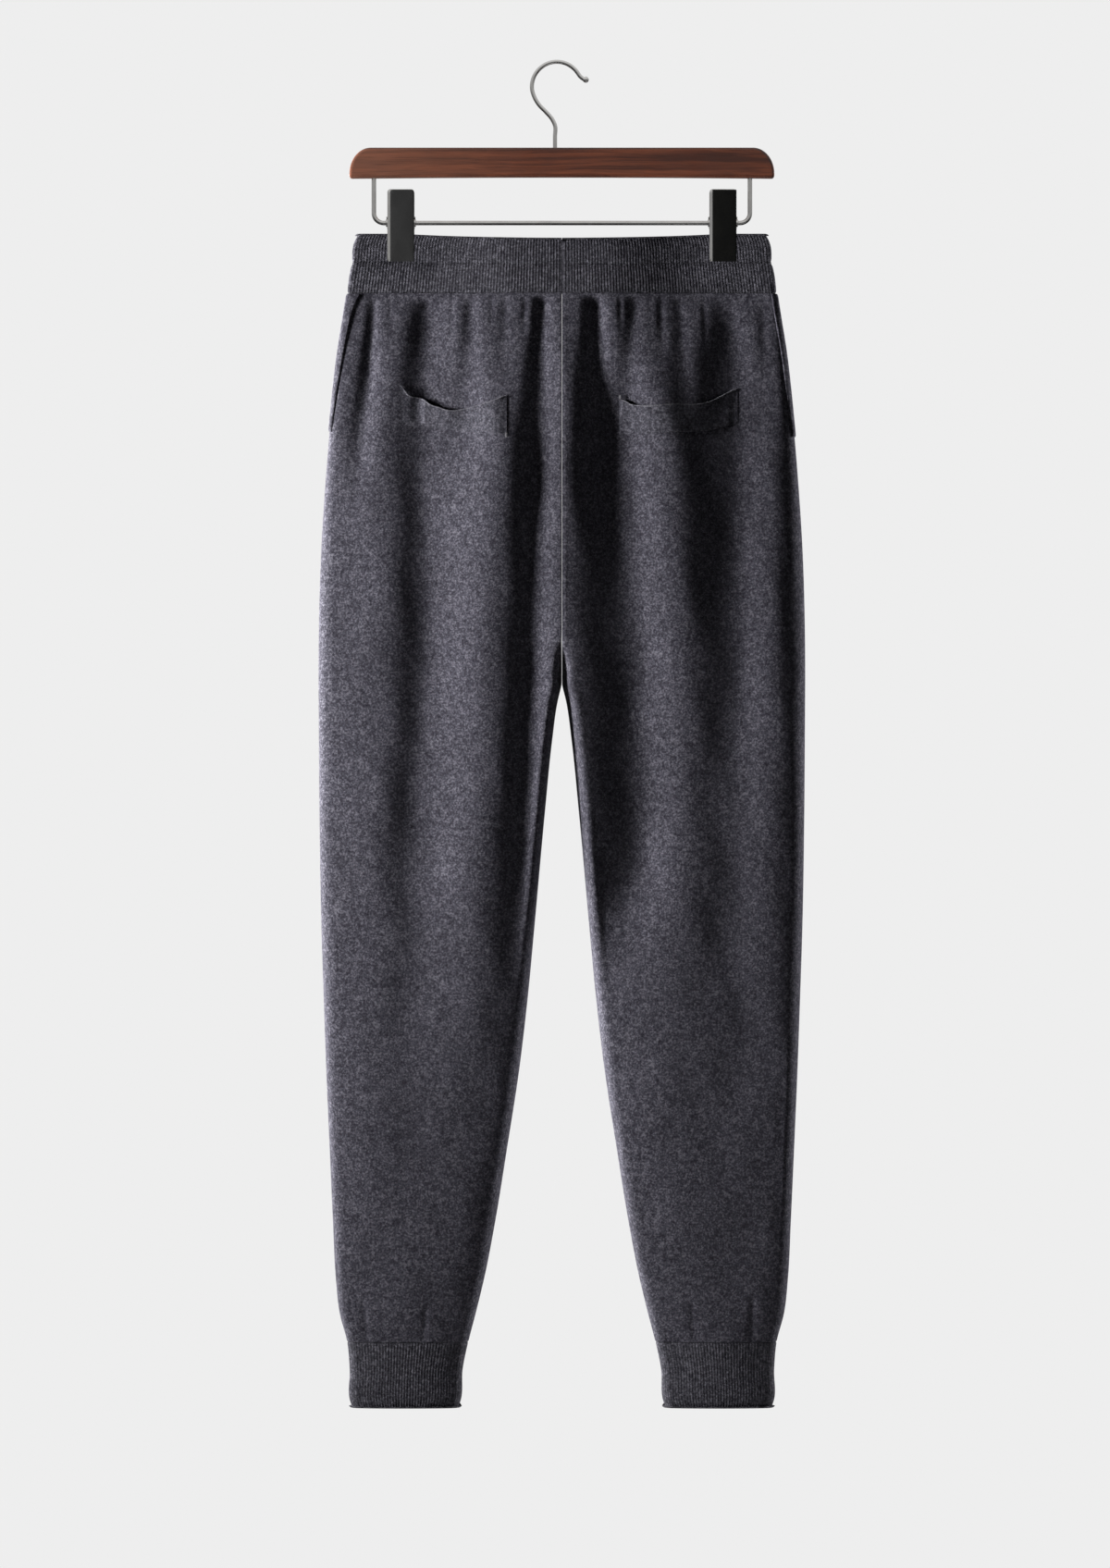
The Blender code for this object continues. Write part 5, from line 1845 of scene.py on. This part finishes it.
    def grain(self) -> Tree:
        """Build the grain of wood that runs along the bar.

        Returns:
            A group that turns a place into a dark figure mask and a pore mask.
        """
        group, nodes, given, out = self.start(
            Effect.GRAIN, {"Vector": "place"},
            {"Figure": "NodeSocketFloat", "Pores": "NodeSocketFloat"},
        )
        place = given["Vector"]
        waved = nodes.noise(nodes.scaled(place, (9.0, 40.0, 40.0)), 1.0, 2.0, 0.5)
        bent = nodes.add("ShaderNodeVectorMath", {0: nodes.scaled(place, (6.0, 210.0, 210.0)),
                                                  1: nodes.scaled(waved, 2.2)}, operation="ADD")
        figure = nodes.noise(bent.outputs[0], 1.0, 4.0, 0.62)
        fine = nodes.noise(nodes.scaled(place, (30.0, 1500.0, 1500.0)), 1.0, 2.0, 0.6)
        nodes.fill(out, {"Figure": nodes.window(figure, 0.36, 0.66),
                         "Pores": nodes.window(fine, 0.52, 0.70)})
        return group

    def wear(self) -> Tree:
        """Build the faint smudges and rubbed spots of handled things.

        Returns:
            A group that turns a place into a mask.
        """
        group, nodes, given, out = self.start(
            Effect.WEAR, {"Vector": "place", "Scale": 1.0}, {"Mask": "NodeSocketFloat"},
        )
        place = nodes.scaled(given["Vector"], given["Scale"])
        broad = nodes.noise(place, 60.0, 3.0, 0.6)
        fine = nodes.noise(place, 700.0, 2.0, 0.6)
        both = nodes.summed(broad, 0.7, fine, 0.3)
        nodes.fill(out, {"Mask": nodes.window(both, 0.42, 0.68)})
        return group


@dataclass(frozen=True)
class Finish:
    """What every finish has: a name, and a way to start its material."""

    name: str

    def started(self, effects: Effects) -> tuple:
        """Start the material.

        Args:
            effects: the shared effects.

        Returns:
            The material, its nodes, its shader, the place on the piece and a function that adds
            a shared effect.
        """
        material = bpy.data.materials.new(self.name)
        material.use_nodes = True
        nodes = Nodes(material.node_tree)
        shader = material.node_tree.nodes["Principled BSDF"]
        place = nodes.add("ShaderNodeTexCoord").outputs["Object"]

        def effect(which: Effect, **inputs: object) -> Sequence[Socket]:
            """Add a shared effect with this material's own values, and give its outputs."""
            return nodes.add("ShaderNodeGroup", inputs, node_tree=effects.groups[which]).outputs

        return material, nodes, shader, place, effect


@dataclass(frozen=True)
class KnitFinish(Finish):
    """Heathered knit with a soft nap."""

    dark: Colour = (0.022, 0.021, 0.028)
    body: Colour = (0.066, 0.063, 0.080)
    light: Colour = (0.190, 0.184, 0.216)
    wale: float = 0.0017
    course: float = 0.0013
    loop_height: float = 0.00016
    loop_full: float = 0.6                   # a loop this high is clear of the painted shade of the grooves
    # painted shade: the grooves between loops are drawn darker and the loop tops a little lighter
    groove_painted_shades: tuple[float, float] = (0.80, 1.05)
    nap_height: float = 0.00036
    sheen: float = 0.06
    sheen_roughness: float = 0.5
    roughness: float = 0.95
    specular: float = 0.12

    def material(self, effects: Effects) -> Material:
        """Make the material.

        Args:
            effects: the shared effects.

        Returns:
            The knit's material.
        """
        material, nodes, shader, place, effect = self.started(effects)
        pattern = nodes.add("ShaderNodeUVMap", uv_map="pattern").outputs[0]
        yarn = effect(Effect.HEATHER, Vector=place, Dark=self.dark, Body=self.body,
                      Light=self.light)[0]
        loops = effect(Effect.LOOPS, Vector=pattern, Wale=self.wale, Course=self.course)[0]
        nap = effect(Effect.NAP, Vector=place)[0]
        # painted shade in the grooves between loops, a faint painted highlight on the loop tops
        groove_painted_shade = nodes.window(loops, 0.0, self.loop_full, *self.groove_painted_shades)
        relief = nodes.bump(loops, self.loop_height)
        nodes.fill(shader, {
            "Base Color": nodes.scaled(yarn, groove_painted_shade),
            "Normal": nodes.bump(nap, self.nap_height, Normal=relief),
            "Roughness": self.roughness, "Specular IOR Level": self.specular,
            "Sheen Weight": self.sheen, "Sheen Roughness": self.sheen_roughness,
        })
        return material


@dataclass(frozen=True)
class WoodFinish(Finish):
    """Stained and varnished wood, its grain along the bar."""

    dark: Colour = (0.060, 0.015, 0.007)
    light: Colour = (0.215, 0.062, 0.029)
    pore: Colour = (0.030, 0.010, 0.006)
    pore_share: float = 0.45
    pore_depth: float = 0.0001
    left_painted_light: Colour = (0.320, 0.150, 0.098)    # painted light: the wood is drawn paler towards the left end, as lit from the left
    fading: float = 0.42                     # by this share there
    left_painted_light_x: tuple[float, float] = (-0.185, -0.020)
    roughness: float = 0.38
    rubbed: tuple[float, float] = (-0.06, 0.10)
    coat: float = 0.25

    def material(self, effects: Effects) -> Material:
        """Make the material.

        Args:
            effects: the shared effects.

        Returns:
            The wood's material.
        """
        material, nodes, shader, place, effect = self.started(effects)
        grain = effect(Effect.GRAIN, Vector=place)
        wear = effect(Effect.WEAR, Vector=place)[0]
        figured = nodes.mixed(grain["Figure"], self.dark, self.light)
        across = nodes.add("ShaderNodeSeparateXYZ", {0: place}).outputs[0]
        # painted light: the left end is mixed towards a paler colour, as the light from the left
        # falls on it
        left_painted_light = nodes.window(across, *self.left_painted_light_x, self.fading, 0.0)
        figure_and_painted_light = nodes.mixed(left_painted_light, figured, self.left_painted_light)
        pores = nodes.math("MULTIPLY", grain["Pores"], self.pore_share)
        rough = [self.roughness + change for change in self.rubbed]
        nodes.fill(shader, {
            "Base Color": nodes.mixed(pores, figure_and_painted_light, self.pore),
            "Roughness": nodes.window(wear, 0.0, 1.0, *rough),
            "Normal": nodes.bump(grain["Pores"], self.pore_depth, 0.5, invert=True),
            "Coat Weight": self.coat, "Coat Roughness": 0.25,
        })
        return material


@dataclass(frozen=True)
class HardFinish(Finish):
    """Metal, painted board or rubber, with the faint wear of handled things."""

    colour: Colour
    worn: Colour
    smooth: float
    rough: float
    relief: float
    metallic: float = 0.0
    specular: float = 0.5

    def material(self, effects: Effects) -> Material:
        """Make the material.

        Args:
            effects: the shared effects.

        Returns:
            The finish's material.
        """
        material, nodes, shader, place, effect = self.started(effects)
        wear = effect(Effect.WEAR, Vector=place)[0]
        nodes.fill(shader, {
            "Base Color": nodes.mixed(wear, self.colour, self.worn),
            "Roughness": nodes.window(wear, 0.0, 1.0, self.smooth, self.rough),
            "Normal": nodes.bump(wear, self.relief, 0.6),
            "Metallic": self.metallic, "Specular IOR Level": self.specular,
        })
        return material


# ---- the studio
@dataclass(frozen=True)
class Softbox:
    """A soft light: where it hangs, what it faces, its size, power and spread."""

    name: str
    place: tuple[float, float, float]
    aim: tuple[float, float, float]
    width: float
    height: float
    power: float
    spread: float

    def build(self) -> None:
        """Hang the light."""
        light = bpy.data.lights.new(self.name, "AREA")
        light.shape = "RECTANGLE"
        light.size = self.width
        light.size_y = self.height
        light.energy = self.power
        light.spread = math.radians(self.spread)
        lamp = bpy.data.objects.new(self.name, light)
        lamp.location = self.place
        way = Vector(self.aim) - Vector(self.place)
        lamp.rotation_euler = way.to_track_quat("-Z", "Y").to_euler()
        lamp.visible_camera = False
        lamp.visible_glossy = False
        bpy.context.scene.collection.objects.link(lamp)


@dataclass(frozen=True)
class Studio:
    """A plain pale studio with soft light from the left, and the camera."""

    backdrop: Colour = (0.855, 0.855, 0.855)
    ambient: float = 0.001
    gloss_high: float = 0.80
    gloss_low: float = 0.03
    floor_z: float = -1.60
    floor_radius: float = 2.2
    floor_sides: int = 96
    floor_colour: Colour = (0.80, 0.80, 0.80)
    camera_x: float = -0.0016
    camera_y: float = -6.0
    camera_z: float = -0.6262
    frame_height: float = 1.36346
    sensor: float = 24.0
    lights: tuple[Softbox, ...] = (
        Softbox("key", (-2.00, -0.55, -0.36), (0.0, 0.0, -0.44), 0.40, 0.90, 13.0, 60.0),
        Softbox("top", (-0.10, -0.36, 1.30), (0.0, 0.0, -0.30), 0.60, 0.30, 0.25, 80.0),
        Softbox("front_key", (-1.35, 1.05, -0.30), (0.0, 0.0, -0.50), 0.60, 1.00, 28.0, 70.0),
        Softbox("front_fill", (1.60, 0.90, -0.40), (0.0, 0.0, -0.55), 0.80, 1.20, 10.0, 70.0),
    )

    def build_world(self) -> None:
        """Surround the scene with the pale backdrop, dim to the cloth and bright to gloss."""
        world = bpy.data.worlds.new("studio")
        bpy.context.scene.world = world
        world.use_nodes = True
        world.node_tree.nodes.clear()
        nodes = Nodes(world.node_tree)
        rays = nodes.add("ShaderNodeLightPath")
        place = nodes.add("ShaderNodeTexCoord").outputs["Generated"]
        up = nodes.add("ShaderNodeSeparateXYZ", {0: place}).outputs[2]
        gloss = nodes.window(up, -0.5, 0.7, self.gloss_low, self.gloss_high)
        seen = nodes.add("ShaderNodeBackground", {0: (*self.backdrop, 1.0), 1: 1.0})
        dim = nodes.add("ShaderNodeBackground", {0: (1.0, 1.0, 1.0, 1.0), 1: self.ambient})
        shiny = nodes.add("ShaderNodeBackground", {0: (1.0, 1.0, 1.0, 1.0), 1: gloss})
        lit = nodes.add("ShaderNodeMixShader", {0: rays.outputs["Is Glossy Ray"],
                                                1: dim.outputs[0], 2: shiny.outputs[0]})
        whole = nodes.add("ShaderNodeMixShader", {0: rays.outputs["Is Camera Ray"],
                                                  1: lit.outputs[0], 2: seen.outputs[0]})
        nodes.add("ShaderNodeOutputWorld", {0: whole.outputs[0]})

    def build_floor(self) -> None:
        """Lay the pale floor, far enough down to stay out of the view."""
        turns = np.linspace(0.0, 2 * math.pi, self.floor_sides, endpoint=False)
        points = [(self.floor_radius * math.cos(a), self.floor_radius * math.sin(a), self.floor_z)
                  for a in turns]
        mesh = bpy.data.meshes.new("floor")
        mesh.from_pydata(points, [], [tuple(range(self.floor_sides))])
        material = bpy.data.materials.new("pale_floor")
        material.use_nodes = True
        Nodes(material.node_tree).fill(material.node_tree.nodes["Principled BSDF"],
                                       {"Base Color": self.floor_colour, "Roughness": 0.9})
        mesh.materials.append(material)
        floor = bpy.data.objects.new("floor", mesh)
        bpy.context.scene.collection.objects.link(floor)

    def build_camera(self) -> None:
        """Stand the camera far back, square to the garment."""
        data = bpy.data.cameras.new("camera")
        data.sensor_fit = "AUTO"
        data.sensor_width = self.sensor
        data.lens = self.sensor * abs(self.camera_y) / self.frame_height
        data.clip_end = 50.0
        camera = bpy.data.objects.new("camera", data)
        camera.location = (self.camera_x, self.camera_y, self.camera_z)
        camera.rotation_euler = (math.pi / 2, 0.0, 0.0)
        bpy.context.scene.collection.objects.link(camera)
        bpy.context.scene.camera = camera

    def build(self) -> None:
        """Set the whole studio up."""
        bpy.context.scene.view_settings.view_transform = "Standard"
        self.build_world()
        self.build_floor()
        for light in self.lights:
            light.build()
        self.build_camera()


# ---- the whole
WELT_LEFT = (
    Mouth(-0.1404, -0.2776, -0.2790, -0.3145, 0.0000, 0.0000, 0.0000),
    Mouth(-0.1340, -0.2862, -0.2876, -0.3152, 0.0004, 0.0012, 0.0000),
    Mouth(-0.1232, -0.2893, -0.2912, -0.3168, 0.0004, 0.0020, 0.0000),
    Mouth(-0.1190, -0.2912, -0.2928, -0.3170, 0.0008, 0.0022, 0.0018),
    Mouth(-0.1155, -0.2938, -0.2958, -0.3172, 0.0012, 0.0024, 0.0016),
    Mouth(-0.1070, -0.2972, -0.2991, -0.3182, 0.0014, 0.0025, 0.0010),
    Mouth(-0.0969, -0.3002, -0.3021, -0.3190, 0.0015, 0.0025, 0.0005),
    Mouth(-0.0885, -0.3000, -0.3014, -0.3200, 0.0013, 0.0020, 0.0002),
    Mouth(-0.0768, -0.2984, -0.2990, -0.3215, 0.0010, 0.0008, 0.0000),
    Mouth(-0.0600, -0.2934, -0.2940, -0.3235, 0.0006, 0.0004, 0.0000),
    Mouth(-0.0479, -0.2884, -0.2890, -0.3250, 0.0001, 0.0000, 0.0000),
)
WELT_RIGHT = (
    Mouth(0.0495, -0.2906, -0.2920, -0.3226, 0.0000, 0.0000, 0.0002),
    Mouth(0.0560, -0.2925, -0.2945, -0.3227, 0.0012, 0.0016, 0.0005),
    Mouth(0.0600, -0.2944, -0.2968, -0.3228, 0.0014, 0.0024, 0.0005),
    Mouth(0.0650, -0.2970, -0.2977, -0.3228, 0.0010, 0.0006, 0.0004),
    Mouth(0.0953, -0.2962, -0.2968, -0.3215, 0.0008, 0.0004, 0.0002),
    Mouth(0.1300, -0.2930, -0.2935, -0.3190, 0.0008, 0.0006, 0.0000),
    Mouth(0.1404, -0.2874, -0.2880, -0.3165, 0.0005, 0.0006, 0.0000),
    Mouth(0.1524, -0.2815, -0.2820, -0.3130, 0.0001, 0.0000, 0.0000),
)
EDGE_LEFT = (
    Reach(-0.2003, 0.0112), Reach(-0.2107, 0.0080), Reach(-0.2196, 0.0066),
    Reach(-0.2357, 0.0060), Reach(-0.2600, 0.0052), Reach(-0.2900, 0.0036),
    Reach(-0.3200, 0.0022),
)
EDGE_RIGHT = (
    Reach(-0.2003, 0.0052), Reach(-0.2260, 0.0050), Reach(-0.2580, 0.0046),
    Reach(-0.2900, 0.0040), Reach(-0.3250, 0.0024),
)


class Joggers:
    """The garment: every cloth piece, its thread and its finishes."""

    def __init__(self, effects: Effects) -> None:
        """Choose the knits.

        Args:
            effects: the shared effects.
        """
        self.plain = KnitFinish("charcoal_plain_knit").material(effects)
        self.rib = KnitFinish("charcoal_rib_knit", body=(0.064, 0.062, 0.074),
                              wale=0.0026).material(effects)
        # the welt's knit is the plain knit painted a little lighter, painted light on the raised
        # welt
        self.welt = KnitFinish("welt_knit_painted_lighter", body=(0.072, 0.070, 0.086)).material(effects)
        # the edge yarn is the knit painted much lighter, a painted highlight along the welts' rims
        self.edge_yarn = KnitFinish("rim_painted_highlight_yarn", dark=(0.060, 0.058, 0.070),
                                    body=(0.160, 0.156, 0.180),
                                    light=(0.280, 0.275, 0.300)).material(effects)
        self.thread = KnitFinish("charcoal_thread", body=(0.050, 0.048, 0.058),
                                 wale=0.0006, course=0.0006).material(effects)
        self.tack_thread = KnitFinish("grey_thread", body=(0.23, 0.22, 0.24), wale=0.0006,
                                      light=(0.40, 0.40, 0.42), course=0.0006).material(effects)

    def add_sheet(self, piece: Piece, cut: Cut, rests_on: Sequence[str],
                  with_pieces: Sequence[Piece] = ()) -> None:
        """Log a cloth piece's cut.

        Args:
            piece: the cloth piece.
            cut: its flat cut.
            rests_on: what it hangs from; not used.
            with_pieces: the separate pieces on it; not used.
        """
        LOG.info("%s: cut %.3f by %.3f m, %.4f square metres", piece.name, *cut)

    def build_waistband(self) -> None:
        """Make the waistband and the stitches between its tiers."""
        path = ((Side.RIGHT, Face.BACK, 1.0, 0.0), (Side.RIGHT, Face.FRONT, 0.0, 1.0),
                (Side.LEFT, Face.FRONT, 1.0, 0.0), (Side.LEFT, Face.BACK, 0.0, 1.0))
        ring = RibbedRing("waistband", path, FORM.waist_seam + SEAM_GAP / 2, FORM.waist_top,
                          0.0030, 0.00028, groove=FORM.waist_groove, sag=0.0040, waver=0.0005)
        band = ring.build(self.rib)
        stitches = TierStitches(ring).build(self.thread)
        self.add_sheet(band, ring.cut(), ["clip_left_frame", "clip_right_frame"], [stitches])

    def build_cuff(self, side: Side) -> None:
        """Make a cuff.

        Args:
            side: the wearer's side.
        """
        path = ((side, Face.BACK, 1.0, 0.0), (side, Face.FRONT, 0.0, 1.0))
        ring = RibbedRing(f"cuff_{side.label}", path, FORM.cuff_seam - SEAM_GAP / 2,
                          FORM.cuff_end, 0.0026, 0.00030, step=0.0022, seam_drop=0.0008)
        self.add_sheet(ring.build(self.rib), ring.cut(), [f"back_{side.label}"])

    def build_leg(self, side: Side) -> None:
        """Make one leg's panels and pocket pieces.

        Args:
            side: the wearer's side.
        """
        left = side is Side.LEFT
        pocket = (BackPocket(side, WELT_LEFT, (0.0140, 0.0110)) if left
                  else BackPocket(side, WELT_RIGHT, (0.0030, 0.0100)))
        back = LegPanel(side, Face.BACK, pocket)
        front = LegPanel(side, Face.FRONT)
        edge = SidePocketEdge(side, EDGE_LEFT if left else EDGE_RIGHT)
        for panel in (back, front):
            self.add_sheet(panel.build(self.plain), panel.cut(), ["waistband"])
        tack = (Tack("tack_left", side, -0.0482, -0.3215, -0.3262) if left
                else Tack("tack_right", side, 0.0502, -0.2890, -0.2925))
        self.add_sheet(pocket.build(self.welt), pocket.cut(), [back.name],
                       [tack.build(self.tack_thread), pocket.build_edge(self.edge_yarn)])
        self.add_sheet(edge.build(self.plain), edge.cut(), [back.name])

    def build(self) -> None:
        """Make the whole garment."""
        self.build_waistband()
        for side in Side:
            self.build_leg(side)
            self.build_cuff(side)


class Hanger:
    """The clip hanger: its bar, wires, clips and finishes."""

    def __init__(self, effects: Effects) -> None:
        """Choose the finishes.

        Args:
            effects: the shared effects.
        """
        self.wood = WoodFinish("mahogany_wood").material(effects)
        self.chrome = HardFinish("chrome_wire", colour=(0.66, 0.65, 0.63), worn=(0.56, 0.55, 0.54),
                                 metallic=1.0, smooth=0.10, rough=0.22,
                                 relief=0.000004).material(effects)
        # one black cover material in two copies: the left clip's painted lighter as lit, the right
        # clip's painted darker as in shade
        self.covers = {
            Side.LEFT: HardFinish("cover_painted_lit", colour=(0.030, 0.030, 0.030),
                                  worn=(0.042, 0.042, 0.042), smooth=0.45, rough=0.65,
                                  relief=0.00005, specular=0.30).material(effects),
            Side.RIGHT: HardFinish("black_cover", colour=(0.006, 0.006, 0.006),
                                   worn=(0.011, 0.011, 0.010), smooth=0.40, rough=0.60,
                                   relief=0.00004, specular=0.08).material(effects),
        }
        self.rubber = HardFinish("black_rubber", colour=(0.010, 0.010, 0.010),
                                 worn=(0.020, 0.020, 0.020), smooth=0.70, rough=0.90,
                                 relief=0.00003).material(effects)

    def build(self) -> None:
        """Make the whole hanger."""
        HangerBar().build(self.wood)
        HangerHook().build(self.chrome)
        HangerRail().build(self.chrome)
        for side in Side:
            clip = Clip(side)
            clip.build_frame(self.chrome)
            for face in Face:
                clip.build_cover(face, self.covers[side])
                clip.build_grip(face, self.rubber)


def corners(bounds: tuple[Vector, Vector]) -> list[list[float]]:
    """Give a box as plain lists.

    Args:
        bounds: its lowest and its highest corner.

    Returns:
        Both as plain lists.
    """
    return [[float(value) for value in corner] for corner in bounds]


def main() -> None:
    """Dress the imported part."""
    logging.basicConfig(level=logging.INFO, format="%(name)s: %(message)s")
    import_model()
    effects = Effects()
    Joggers(effects).build()
    Hanger(effects).build()
    Studio().build()


if __name__ == "__main__":
    main()
